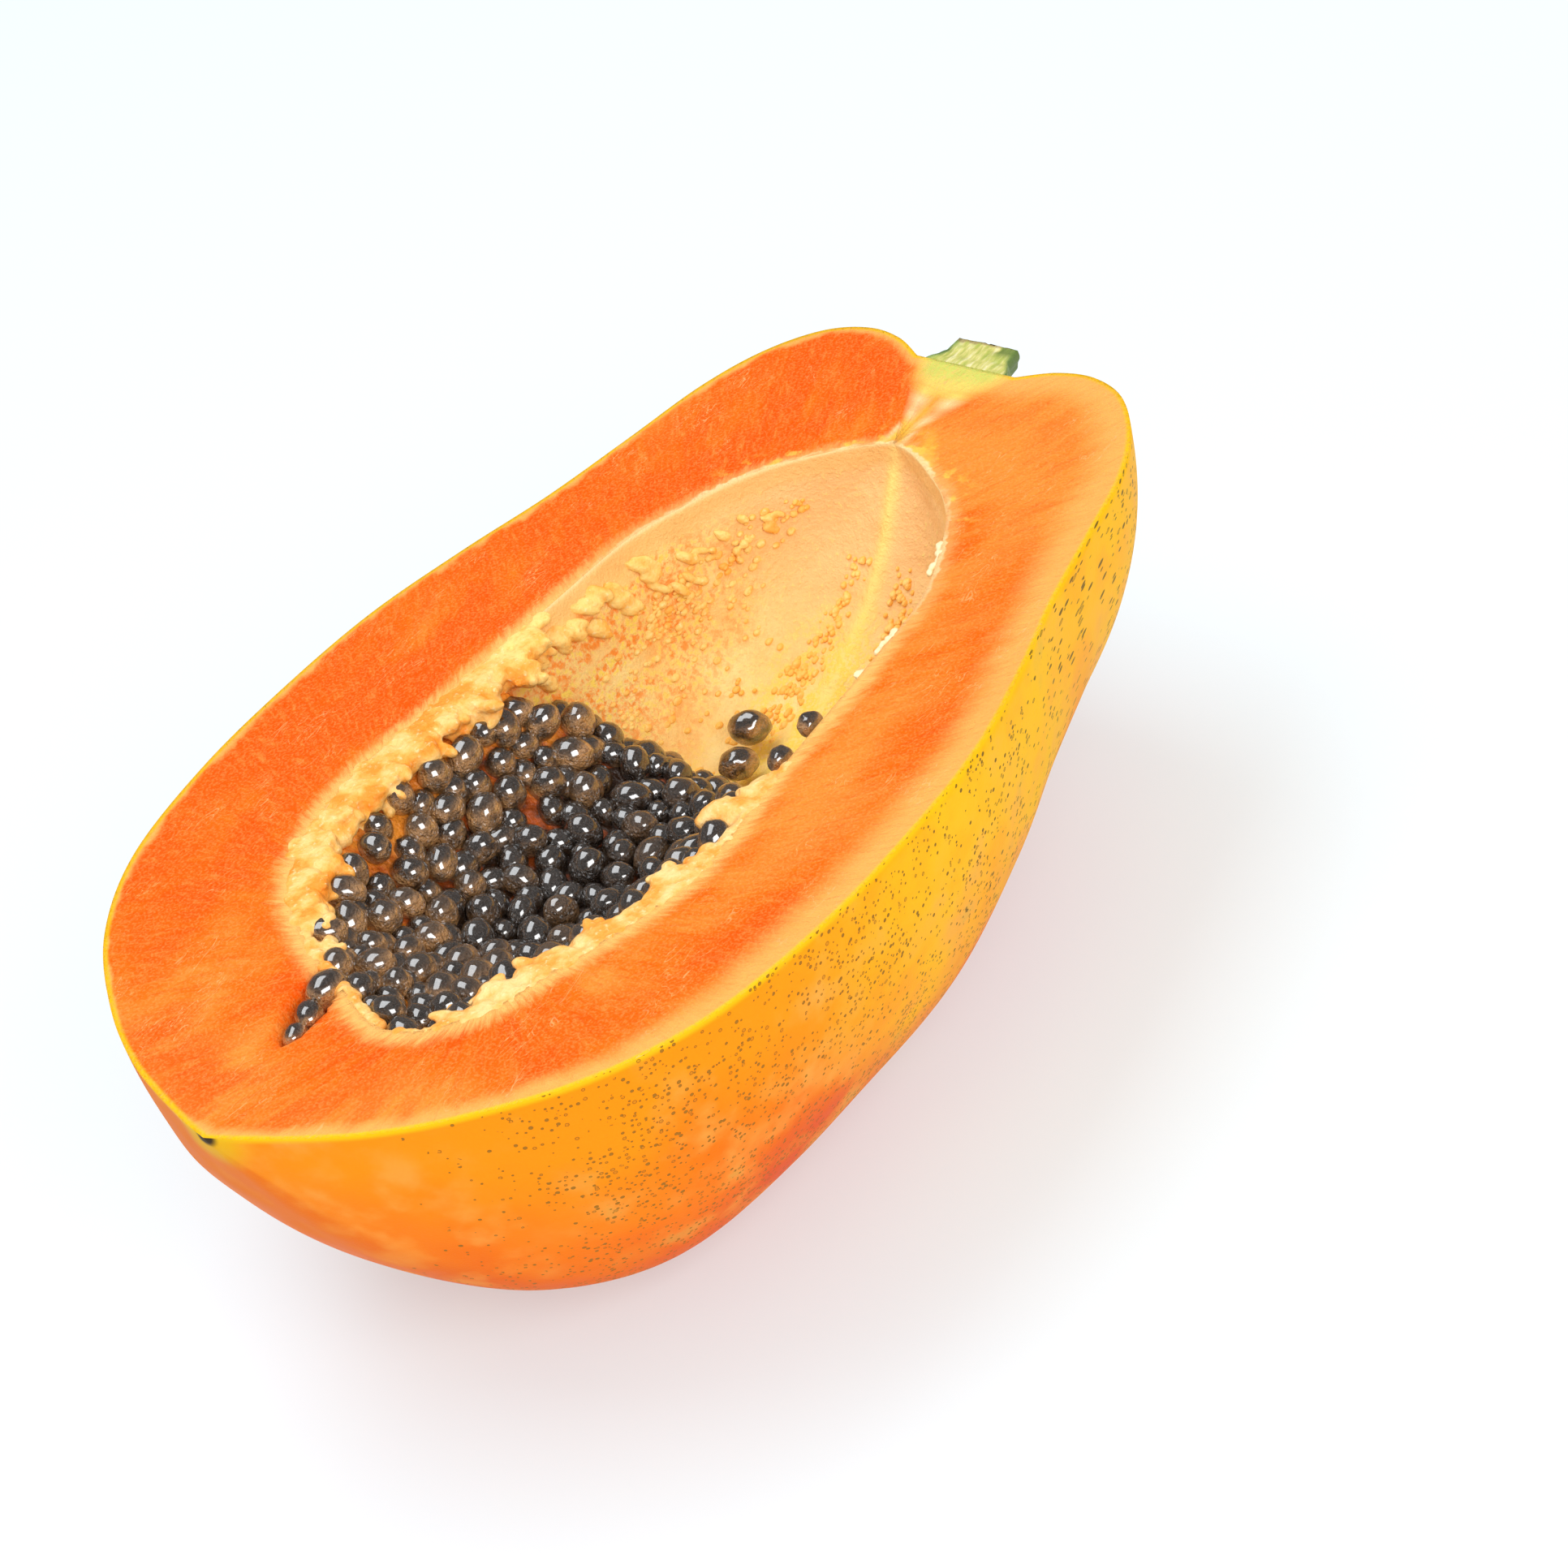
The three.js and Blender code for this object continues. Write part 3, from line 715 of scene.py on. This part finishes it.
def rib_share(x, angle, radius):
    """Where the soft rib runs down the cavity from its apex."""
    away = np.radians(angle - RIB_ANGLE) * radius
    return bell(0, 1.3 + 2.2 * smooth(172, 140, x), away) * smooth(108, 140, x)


def wall_points(inner):
    """The cavity's wall with its ridges, midrib and uneven lining."""
    angle = np.linspace(0, 180, WALL_ROUND)[None, :]
    x, radius = inner[:, :1], np.maximum(inner[:, 1:], 0)
    full = radius * placentas(x, angle)
    full = full - RIB_HEIGHT * rib_share(x, angle, radius) * smooth(0, 6, radius)
    y = -full * np.cos(np.radians(angle))
    z = -full * DEPTH_RATIO * np.sin(np.radians(angle))
    points = np.stack(np.broadcast_arrays(x, y, z), -1)
    flat = points.reshape(-1, 3)
    lumps = sum(height * rough(flat, size, seed) for height, size, seed in LINING_LUMPS)
    inside = np.sin(np.radians(angle)) ** 0.5 * smooth(0, 6, radius)
    shrink = 1 - lumps.reshape(z.shape) * inside / np.maximum(full, 1)
    points = points * (1 + (shrink[..., None] - 1) * [0, 1, 1])
    points[..., 1] += cavity_centre(x)
    return points


def round_angle(points):
    """Angle round the cavity's axis, and distance from it."""
    y = points[:, 1] - cavity_centre(points[:, 0])
    angle = np.degrees(np.arctan2(-points[:, 2], -y))
    return angle, np.hypot(y, points[:, 2] / DEPTH_RATIO)


def slit_floor(points):
    """Height of the slit's floor under each point, or zero outside it."""
    dx, dy = points[:, 0] - SLIT_X, points[:, 1] - SLIT_Y
    along = (dx * math.cos(SLIT_TURN) + dy * math.sin(SLIT_TURN)) / SLIT_SIZE[0]
    across = (dy * math.cos(SLIT_TURN) - dx * math.sin(SLIT_TURN)) / SLIT_SIZE[1]
    return -SLIT_SIZE[2] * np.sqrt(np.clip(1 - along**2 - across**2, 0, 1))


def nearest(points, line):
    """Distance in the cut plane from each point to a line of points."""
    gaps = points[:, None, :2] - line[None, :, :2]
    return np.sqrt((gaps**2).sum(-1).min(1))


STRAND_MIDDLE = -0.4
STRAND_FORK = 181
STRAND_REACH = 22


def strands(points):
    """Shares of the yellow Y that runs from the stem to the cavity's apex, and of its borders."""
    x, y = points[:, 0], points[:, 1]
    off = y - STRAND_MIDDLE
    root = np.maximum(0, (x - STRAND_FORK) / STRAND_REACH)
    spread = 0.9 + 6.6 * smooth(0.35, 1.05, root)
    lines = bell(0, 0.8, np.abs(off) - spread)
    middle = 0.8 * bell(0, 1.5, off) * bell(0.15, 0.5, root)
    flush = 0.9 * smooth(spread + 1, spread - 1, np.abs(off)) * smooth(0.4, 0.75, root)
    around = smooth(178, 184, x)
    branch = bell(0, 1.3, y + 9 + 0.55 * (178 - x)) * smooth(150, 164, x) * (1 - smooth(180, 188, x))
    border = bell(0, 0.5, np.abs(off) - spread - 0.9) * around
    strand = np.maximum.reduce([lines, middle, flush]) * around + 0.55 * branch
    return np.clip(strand, 0, 1), border


def face_sides(skin_grid, wall_grid):
    """The two halves of the cut face, from the skin to the cavity, with faint dips."""
    share = np.linspace(0, 1, FACE_ACROSS)[None, :, None]
    arch = np.sin(np.pi * share[..., 0]) ** 0.5
    sides = []
    for end in (0, -1):
        side = skin_grid[:, [end]] * (1 - share) + wall_grid[:, [end]] * share
        dips = DIP_DEPTH * (rough(side.reshape(-1, 3), DIP_SIZE, 5) - 1)
        side[..., 2] += dips.reshape(side.shape[:2]) * arch
        sides.append(side)
    return sides


def fruit_values(points, grids):
    """What the finishes read at each point: distances in millimetres, angles and shares."""
    skin_grid, wall_grid = grids[:2]
    rim = np.concatenate([skin_grid[:, 0], skin_grid[:, -1]])
    hole = np.concatenate([wall_grid[:, 0], wall_grid[:, -1]])
    middle = (skin_grid[:, 0] + wall_grid[:, 0]) / 2
    run = np.concatenate([[0], np.cumsum(np.linalg.norm(np.diff(middle, axis=0), axis=1))])
    gap = np.linalg.norm(skin_grid[:, 0] - wall_grid[:, 0], axis=1)
    across = (np.linspace(0, 1, FACE_ACROSS) * gap[:, None]).ravel()
    reaches = [np.zeros(skin_grid[..., 0].size), np.repeat(gap, WALL_ROUND), across, across]
    strand, border = strands(points)
    return {
        "fibre_run": np.concatenate([np.repeat(run, grid.shape[1]) for grid in grids]),
        "fibre_reach": np.concatenate(reaches),
        "skin_mm": nearest(points, rim),
        "cavity_mm": nearest(points, hole),
        "side": points[:, 1] / HALF_FACE,
        "under_mm": -points[:, 2],
        "along_mm": points[:, 0],
        "tip_mm": np.linalg.norm(points, axis=1),
        "angle": np.degrees(np.arctan2(-points[:, 2], -points[:, 1])),
        "strand": strand,
        "border": border,
        "rib": rib_share(points[:, 0], *round_angle(points)),
        "cream": smooth(CREAM_FROM, CREAM_TO, points[:, 0]),
    }


def make_fruit(face, skin, wall):
    outer, inner = fruit_profiles()
    skin_grid, wall_grid = skin_points(outer), wall_points(inner)
    grids = [skin_grid, wall_grid, *face_sides(skin_grid, wall_grid)]
    points, faces, slots = [], [], []
    for slot, grid in enumerate(grids):
        quads = grid_faces(len(outer), grid.shape[1], sum(len(p) for p in points))
        points.append(grid.reshape(-1, 3))
        faces.append(quads)
        slots.append(np.full(len(quads), min(slot, FACE_SLOT)))
    points = np.concatenate(points)
    inside = np.arange(len(points)) >= len(outer) * SKIN_ROUND
    points[inside, 2] = np.minimum(points[inside, 2], slit_floor(points[inside]))
    piece = add_piece(
        "papaya_fruit", points, np.concatenate(faces), [skin, wall, face],
        np.concatenate(slots), fruit_values(points, grids), weld=WELD,
    )
    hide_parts("papaya_half")


# Pulp along the rims and on the wall

# Side, where each fringe starts and ends along the fruit, its lumps and its width
FRINGES = [(1, 40, 118, 19, 3.2), (-1, 33, 97, 15, 3.6)]

# Angle and spread, where each row starts and ends along the fruit, and its grains
GRAIN_ROWS = [
    (155, 9, 138, 170, 110),
    (146, 14, 112, 160, 90),
    (108, 8, 138, 170, 130),
    (76, 8, 138, 170, 110),
    (120, 24, 116, 155, 60),
    (30, 10, 120, 160, 50),
]


def fringe_lumps():
    draw = drawer(11)
    lumps = []
    for side, low, high, count, width in FRINGES:
        for i in range(count):
            x = low + (high - low) * (i + 0.5 * next(draw)) / count
            rim = cavity_width_at(x)
            reach = width * (0.6 + 1.1 * next(draw))
            size = np.array([2.4 + 1.4 * next(draw), reach, 2.2 + 1.6 * next(draw)])
            y = cavity_centre(x) + side * (rim - 0.55 * size[1])
            middle = np.array([x, y, -1.2 - 1.6 * next(draw)])
            lumps.append((middle, size, next(draw) - 0.5, side))
    return lumps


def uneven(points, amount, scale, seed):
    """Pushes the points of a body about the origin in and out."""
    size = np.linalg.norm(points, axis=1)[:, None]
    return points * (1 + amount * rough(points, scale, seed)[:, None] * np.minimum(1, 2 / size))


def pulp_bodies():
    """Each lump of pulp with a few blunt fingers and crumbs that reach in towards the seeds."""
    FINGERS, CRUMBS, BARE_AT, BARE_REACH = 5, 9, 84.5, 3.8
    unit, faces = ball(3)
    small, small_faces = ball(2)
    draw = drawer(31)
    bodies = []
    for number, (middle, size, turn, side) in enumerate(fringe_lumps()):
        if side < 0 and abs(middle[0] - BARE_AT) < BARE_REACH:
            continue
        lump = turned(unit * size, 0, turn)
        bodies.append((uneven(lump, 0.3, 2.2, number) + middle, faces))
        for _ in range(FINGERS):
            length, thick = 1.5 + 1.5 * next(draw), 0.75 + 0.5 * next(draw)
            finger = turned(small * [length, thick, thick], 0.5 - next(draw), math.pi * next(draw))
            spot = middle + [4.4 * (next(draw) - 0.5), -side * (size[1] * (0.3 + 0.75 * next(draw))), 0]
            spot[2] = -0.9 - 3.4 * next(draw)
            bodies.append((finger + spot, small_faces))
        for _ in range(CRUMBS):
            size_now = 0.6 + 1.1 * next(draw) ** 2
            away = size[1] * (1.7 * next(draw) - 0.9)
            spot = middle + [6 * (next(draw) - 0.5), -side * away, 0]
            spot[2] = -0.5 - 2.6 * next(draw)
            crumb = uneven(small * size_now * [1 + next(draw), 1, 1], 0.3, 1.1, next(draw) * 50)
            bodies.append((turned(crumb, 0, math.pi * next(draw)) + spot, small_faces))
    return bodies


def bay_crumbs(draw, unit):
    """A patch of crumbs on both sides of the bay at the blossom end of the cavity."""
    CRUMBS, FIRST, LAST = 34, 29.2, 37
    bodies = []
    for i in range(CRUMBS):
        x = FIRST + (LAST - FIRST) * (i + next(draw)) / CRUMBS
        size = 0.9 + 1.0 * next(draw)
        y = cavity_centre(x) + (1 - 2 * (i % 2)) * cavity_width_at(x)
        crumb = uneven(unit * [size, size, 1.4], 0.3, 1.6, i)
        bodies.append(crumb + [x + 0.7 * next(draw), y, -1.1 - 1.5 * next(draw)])
    return bodies


def seam_crumbs(draw, unit):
    """Flat crumbs that hide where the pulp meets the cut flesh."""
    STEP, PAST = 1.1, 4
    bodies = []
    for side, low, high, _, _ in FRINGES:
        x = low - PAST
        while x < high + PAST:
            size = 0.8 + 0.9 * next(draw)
            y = cavity_centre(x) + side * (cavity_width_at(x) + 0.9 * (next(draw) - 0.6))
            crumb = uneven(unit * [size * 1.2, size, 0.9], 0.25, 1.2, 50 * next(draw))
            bodies.append(turned(crumb, 0, math.pi * next(draw)) + [x, y, -0.75])
            x += STEP * (0.6 + 0.8 * next(draw))
    return bodies


def white_crumbs(draw, unit):
    """Small white crumbs in groups along the near rim."""
    GROUPS, EACH, SPREAD = (123.5, 131, 134.5, 152, 156), 9, 2.2
    bodies = []
    for i in range(len(GROUPS) * EACH):
        x = GROUPS[i // EACH] + SPREAD * (next(draw) + next(draw) - 1)
        size = 0.3 + 0.4 * next(draw)
        y = cavity_centre(x) - cavity_width_at(x) + 1.1 * next(draw) - 0.2
        crumb = uneven(unit * [size * 1.3, size, size], 0.35, 0.7, i + 200)
        bodies.append(crumb + [x, y, -0.2 - 0.5 * next(draw)])
    return bodies


def rim_bodies():
    unit, faces = ball(2)
    draw = drawer(83)
    crumbs = bay_crumbs(draw, unit) + seam_crumbs(draw, unit) + white_crumbs(draw, unit)
    return [(points, faces) for points in crumbs]


def knob_bodies():
    """Plump knobs of pulp that hang in clusters from the far rim of the cavity."""
    KNOBS, FIRST, LAST, CLUSTER, GATHER = 60, 112, 168, 7.0, 1.9
    unit, faces = ball(3)
    draw = drawer(57)
    bodies = []
    for i in range(KNOBS):
        x = FIRST + (LAST - FIRST) * (i + next(draw)) / KNOBS
        late = smooth(136, 158, x)
        x = x + GATHER * math.sin(2 * math.pi * x / CLUSTER)
        length = (2.5 - 1.2 * late) * (0.6 + 0.6 * next(draw))
        thick = (1.2 - 0.45 * late) * (0.75 + 0.4 * next(draw))
        middle = wall_point(x, 175 - 14 * next(draw) - 9 * late, 0.5)
        away = Vector((0.4 + 0.5 * next(draw), -0.7, -0.4 - 0.4 * next(draw)))
        turn = np.array(Vector((0, 0, 1)).rotation_difference(away).to_matrix())
        body = uneven(unit * [thick, thick, length], 0.16, 1.5, i)
        bodies.append((body @ turn.T + middle, faces))
    return bodies


def grain_bodies():
    """Small grains of pulp scattered over the wall."""
    unit, faces = ball(2)
    draw = drawer(41)
    bodies = []
    for angle, spread, low, high, count in GRAIN_ROWS:
        for _ in range(count):
            x = low + (high - low) * next(draw)
            size = 0.35 + 0.45 * next(draw) ** 2
            middle = wall_point(x, angle + spread * (next(draw) + next(draw) - 1), -0.3 * size)
            bodies.append((unit * size * [1.5, 1, 1] + middle, faces))
    return bodies


PULP_TOP = 0.12
PULP_VOXEL = 0.32
GRAIN_TOP = 0.5


def make_pulp(material):
    bodies = []
    for points, faces in pulp_bodies() + rim_bodies() + knob_bodies():
        flush = points.copy()
        flush[:, 2] = np.minimum(flush[:, 2], PULP_TOP)
        bodies.append((flush, faces))
    piece = fused("papaya_pulp", bodies, PULP_VOXEL, [material])
    points, faces = gathered(grain_bodies())
    angle, distance = round_angle(points)
    stands = cavity_width_at(points[:, 0]) * placentas(points[:, 0], angle) - distance
    # How low each grain point sits on the wall, for the orange painted shade at its foot.
    values = {"sunk": smooth(GRAIN_TOP, 0.0, stands)}
    grains = add_piece("papaya_wall_grains", points, faces, [material], values=values)


# The seeds


def seed_level(x, y):
    side = (y - cavity_centre(x)) / np.maximum(1, cavity_width_at(x))
    inner = np.minimum(1, np.abs(side) / BED_SHARE)
    hollow = BED_HOLLOW * (1 - inner * inner) * smooth(HOLLOW_FROM, HOLLOW_TO, x)
    past = np.maximum(0, x - (BED_END + BED_END_SKEW * side))
    return -BED_EDGE - np.maximum(hollow, BED_END_SLOPE * past)


def pulp_width(x, side):
    if side > 0:
        return 3.2 * smooth(34, 60, x)
    return 2.4 * smooth(30, 40, x) * (1 - smooth(60, 80, x))


def inside_cavity(point, margin):
    radius = cavity_width_at(point[0]) - margin
    if radius <= 0:
        return False
    across = (point[1] - cavity_centre(point[0])) / radius
    down = point[2] / (radius * DEPTH_RATIO)
    return across * across + down * down < 1


def scattered(seed, tries, least, spread, sunk, room, most, middles):
    """Middles, sizes and turns of seeds, tried at random and kept where there is room."""
    draw = drawer(seed)
    sites = []
    for _ in range(tries):
        x = SEEDS_FROM + (SEEDS_TO - SEEDS_FROM) * next(draw)
        side = 2 * next(draw) - 1
        size = SEED_SIZE * (least + spread * next(draw))
        turn = (math.pi * next(draw), math.pi * next(draw))
        reach = cavity_width_at(x) - size - pulp_width(x, side)
        y = cavity_centre(x) + side * reach
        middle = np.array([x, y, seed_level(x, y) - sunk])
        free = not len(middles) or np.linalg.norm(middles - middle, axis=1).min() > room
        if reach > 0 and free and inside_cavity(middle, size) and len(sites) < most:
            middles = np.vstack([middles, middle])
            sites.append((middle, size, turn))
    return sites


def seed_sites():
    """The upper seeds, exactly as the solids have them."""
    return scattered(5, SEED_TRIES, 0.86, 0.26, 0, SEED_SPACING, SEED_TRIES, np.zeros((0, 3)))


def filler_sites(sites):
    """Seeds of a second layer, which show in the gaps of the first."""
    SUNK, ROOM, TRIES, MOST = 1.7, 3.9, 4000, 170
    middles = np.array([middle for middle, _, _ in sites])
    return scattered(17, TRIES, 0.84, 0.2, SUNK, ROOM, MOST, middles)


def slit_sites():
    """Seeds in the slit: a small one at its end and two larger ones towards the cavity."""
    sites = []
    for share, size, turn in ((-0.64, 2.2, 0.0), (-0.2, 2.7, 0.5), (0.36, 3.4, -0.4)):
        along = share * SLIT_SIZE[0]
        middle = [SLIT_X + along * math.cos(SLIT_TURN), SLIT_Y + along * math.sin(SLIT_TURN), -1.9]
        sites.append((np.array(middle), size, (0, SLIT_TURN + turn)))
    return sites


def seed_body(unit, size, turn, number):
    """One seed: an egg shape with a blunt point, gentle lumps and, on some, folds along it."""
    draw = drawer(900 + 13 * number)
    folded = next(draw) > 0.72
    phase = 6.3 * next(draw)
    around = np.arctan2(unit[:, 2], unit[:, 1])
    folds = (0.05 if folded else 0.012) * np.sin(9 * around + phase) * (1 - unit[:, 0] ** 2)
    point = 0.06 * smooth(0.6, 1.0, unit[:, 0])
    lumps = 0.08 * rough(unit * 3, 1.7, number)
    shape = unit * (1 + folds + point + lumps)[:, None]
    return turned(shape * [1.06 * size, 0.84 * size, 0.89 * size], *turn)


def side_light_and_hollow_shade(shape, middle):
    """0 on top of a seed and 1 on its sides, where olive brown is painted for light seen through the clear
    coat edge-on; less for a seed down in the hollow, as painted shade.
    """
    side = smooth(0.95, 0.3, shape[:, 2] / np.linalg.norm(shape, axis=1))
    return side * (1 - 0.75 * smooth(12, 20, -middle[2]))


def make_seeds(material):
    """Both layers of seeds as one piece, the lower layer plainer and darker."""
    sites = seed_sites()
    layers = [(sites + slit_sites(), 3, 0, 1), (filler_sites(sites), 2, 500, 0.4)]
    bodies, tints, side_lights_and_hollow_shades = [], [], []
    draw = drawer(77)
    for layer, detail, first, tint in layers:
        unit, unit_faces = ball(detail)
        for number, (middle, size, turn) in enumerate(layer, first):
            shape = seed_body(unit, size, turn, number)
            bodies.append((shape + middle, unit_faces))
            tints.append(np.full(len(unit), tint * next(draw)))
            # The seeds' painted side light and hollow shade, read by the seed finish.
            side_lights_and_hollow_shades.append(side_light_and_hollow_shade(shape, middle))
    points, faces = gathered(bodies)
    values = {"tint": np.concatenate(tints), "side_light_and_hollow_shade": np.concatenate(side_lights_and_hollow_shades)}
    piece = add_piece("papaya_seeds", points, faces, [material], values=values)
    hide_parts("seeds")


def make_bed(material):
    """The pulp under the seeds, darkened by painted shade where it lies deep, a thick sheet sunk into the
    wall all round.
    """
    ALONG, ACROSS, THICK = 70, 40, 2.5
    x = np.linspace(SEEDS_FROM - 1, SEEDS_TO + 3, ALONG)[:, None]
    side = np.linspace(-1, 1, ACROSS)[None, :]
    y = cavity_centre(x) + side * (cavity_width_at(x) + 0.5)
    z = seed_level(x + 0 * side, y) - BED_SINK
    top = np.stack(np.broadcast_arrays(x, y, z), -1).reshape(-1, 3)
    top[:, 2] += 0.7 * rough(top, 3, 8)
    bottom = top - [0, 0, THICK]
    count = ALONG * ACROSS
    index = np.arange(count).reshape(ALONG, ACROSS)
    rim = np.concatenate([index[0, :-1], index[:-1, -1], index[-1, :0:-1], index[:0:-1, 0]])
    wall = np.stack([rim, np.roll(rim, -1), np.roll(rim, -1) + count, rim + count], 1)
    faces = np.concatenate([grid_faces(ALONG, ACROSS), grid_faces(ALONG, ACROSS, count)[:, ::-1], wall])
    points = np.concatenate([top, bottom])
    # Depth under the cut face, which the bed finish turns into painted shade.
    values = {"under_mm": -points[:, 2]}
    piece = add_piece("papaya_seed_bed", points, faces, [material], values=values, weld=WELD)


# Place along the fruit, angle round it, size and turn of each stray seed
STRAYS = [
    (136, 108, 3.4, (0.1, -0.9)),
    (128, 101, 3.2, (0.1, -0.7)),
    (104, 5, 2.5, (0.2, 0.4)),
    (113, 5, 2.4, (0.5, 0.2)),
]


def make_strays(material):
    unit, faces = ball(4)
    for number, (x, angle, size, turn) in enumerate(STRAYS):
        middle = wall_point(x, angle, size + 1)
        shape = seed_body(unit, size, turn, number + 700)
        # Painted light on the stray seeds' sides, as on the others.
        values = {"tint": np.full(len(unit), 0.2 * number), "side_light_and_hollow_shade": side_light_and_hollow_shade(shape, [0, 0, 0])}
        name = f"papaya_seed_stray_{number + 1}"
        piece = add_piece(name, shape + middle, faces, [material], values=values)
        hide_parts(f"seed_stray_{number + 1}")


# The stem

STEM_LENGTH = 7.2
STEM_BASE = 9.2
STEM_WAIST = 7
STEM_TOP = 6.7
STEM_GAP = 0.05
STEM_MARKS = [0, 0.22, 0.48, 1.0]
STEM_STEPS, STEM_ROUND, STEM_RINGS = 30, 48, 12
STEM_RIBS, STEM_RIB_DEPTH = 14, 0.02
STEM_DIP, STEM_DIP_SIZE = 0.25, 1.6
FLAT = -0.001


def make_stem(material):
    """The half stem: a flared round side, a flat cut face and a rough end."""
    start = STEM_SEAT * LENGTH + STEM_GAP
    marks = np.array(STEM_MARKS) * STEM_LENGTH
    along = np.linspace(0, STEM_LENGTH, STEM_STEPS)
    radius = np.interp(along, marks, [STEM_BASE, 0.9 * STEM_BASE, STEM_WAIST, STEM_TOP])
    angle = np.radians(np.linspace(0, 180, STEM_ROUND))
    shares = np.linspace(1, 0, STEM_RINGS)
    rings = [(start, STEM_BASE * (1 - s)) for s in shares[:-1]]
    rings += [(start + a, r) for a, r in zip(along, radius)]
    rings += [(start + STEM_LENGTH, STEM_TOP * s) for s in shares[1:]]
    rings = np.array(rings)
    x, full = rings[:, :1], rings[:, 1:]
    ribs = 1 - STEM_RIB_DEPTH * (1 + np.cos(STEM_RIBS * angle))[None, :]
    y = -full * np.cos(angle) * ribs
    z = -full * np.sin(angle) * ribs
    x = x + SHOULDER_LEAN * y * smooth(SHOULDER_FROM, SHOULDER_TO, x)
    round_side = np.stack(np.broadcast_arrays(x, y, z), -1)
    across = np.concatenate([shares[::-1] / 2, 1 - shares[1:] / 2])[None, :, None]
    flat = round_side[len(shares) - 1 : len(shares) - 1 + len(along)]
    cut = flat[:, [0]] * (1 - across) + flat[:, [-1]] * across
    points = np.concatenate([round_side.reshape(-1, 3), cut.reshape(-1, 3)])
    first = grid_faces(len(rings), len(angle))
    second = grid_faces(len(along), across.shape[1], first.max() + 1)
    sunk = STEM_DIP * (rough(points, STEM_DIP_SIZE, 3) - 1) * smooth(start + 1, start + 3, points[:, 0])
    outer = np.interp(points[:, 0], start + along, radius)
    values = {
        "edge_mm": np.where(points[:, 2] > FLAT, outer - np.abs(points[:, 1]), 0),
        "along_mm": points[:, 0] - start,
    }
    points[:, 2] = points[:, 2] + np.where(points[:, 2] > FLAT, sunk, 0)
    faces = np.concatenate([first, second])
    piece = add_piece("papaya_stem", points, faces, [material], values=values, weld=WELD)
    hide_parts("stem_stub")


# Stage, light and camera

LENS = 99.72
SENSOR = 36
CAMERA_PLACE = (-278.9, -419.5, 378.7)
CAMERA_RIGHT = (0.561, -0.7912, -0.2434)
CAMERA_UP = (0.5986, 0.1847, 0.7794)
CAMERA_BACK = (-0.5718, -0.583, 0.5773)


def make_camera():
    camera = bpy.data.objects.new("camera", bpy.data.cameras.new("camera"))
    camera.data.lens = LENS
    camera.data.sensor_width = SENSOR
    turn = Matrix([CAMERA_RIGHT, CAMERA_UP, CAMERA_BACK]).transposed().to_4x4()
    place = (np.array(CAMERA_PLACE) + ORIGIN) * MM
    camera.matrix_world = Matrix.Translation(place.tolist()) @ turn
    bpy.context.collection.objects.link(camera)
    bpy.context.scene.camera = camera


FLOOR_COLOUR = (0.48, 0.54, 0.57, 1)
FLOOR_GLOW = (0.98, 0.99, 1, 1)
FLOOR_GLOW_STRENGTH = 0.34


def make_floor():
    SIZE = 6
    mesh = bpy.data.meshes.new("floor")
    corners = [(-SIZE, -SIZE, 0), (SIZE, -SIZE, 0), (SIZE, SIZE, 0), (-SIZE, SIZE, 0)]
    mesh.from_pydata(corners, [], [(0, 1, 2, 3)])
    f = Finish("floor")
    mesh.materials.append(f.done(
        Base_Color=FLOOR_COLOUR, Roughness=0.7, Specular_IOR_Level=0.0,
        Emission_Color=FLOOR_GLOW, Emission_Strength=FLOOR_GLOW_STRENGTH,
    ))
    floor = bpy.data.objects.new("floor", mesh)
    bpy.context.collection.objects.link(floor)


LIGHT_AIM = (0, 0, 0.03)

# Name, place, size, power and colour of each light
LIGHTS = [
    ("top", (-0.05, 0.3, 1.0), (0.9, 0.6), 5.1, (0.94, 0.97, 1.0)),
    ("front", (-0.4, -0.75, 0.65), (0.6, 0.45), 4.9, (1.0, 1.0, 1.0)),
]
WORLD_LIGHT = 0.58
WORLD_GLOSS = 0.16
EXPOSURE = 0.2


def add_light(name, place, size, power, colour):
    light = bpy.data.lights.new(name, "AREA")
    light.shape = "RECTANGLE"
    light.size, light.size_y = size
    light.energy = power
    light.color = colour
    made = bpy.data.objects.new(name, light)
    made.location = place
    aim = Vector(LIGHT_AIM) - Vector(place)
    made.rotation_euler = aim.to_track_quat("-Z", "Y").to_euler()
    bpy.context.collection.objects.link(made)


def make_light():
    """A soft even world that looks darker in reflections, and the two lights."""
    world = bpy.data.worlds.new("studio")
    world.use_nodes = True
    tree = world.node_tree
    background = tree.nodes["Background"]
    background.inputs["Color"].default_value = (1.0, 1.0, 1.0, 1)
    path = tree.nodes.new("ShaderNodeLightPath")
    share = tree.nodes.new("ShaderNodeMapRange")
    share.inputs["To Min"].default_value = WORLD_LIGHT
    share.inputs["To Max"].default_value = WORLD_GLOSS
    tree.links.new(path.outputs["Is Glossy Ray"], share.inputs["Value"])
    tree.links.new(share.outputs[0], background.inputs["Strength"])
    bpy.context.scene.world = world
    for light in LIGHTS:
        add_light(*light)
    bpy.context.scene.view_settings.view_transform = "Standard"
    bpy.context.scene.view_settings.exposure = EXPOSURE


make_camera()
make_floor()
make_light()
make_fruit(face_finish(), skin_finish(), wall_finish())
make_pulp(pulp_finish())
seed_material = seed_finish()
make_seeds(seed_material)
make_bed(bed_finish())
make_strays(seed_material)
make_stem(stem_finish())

bpy.context.view_layer.update()
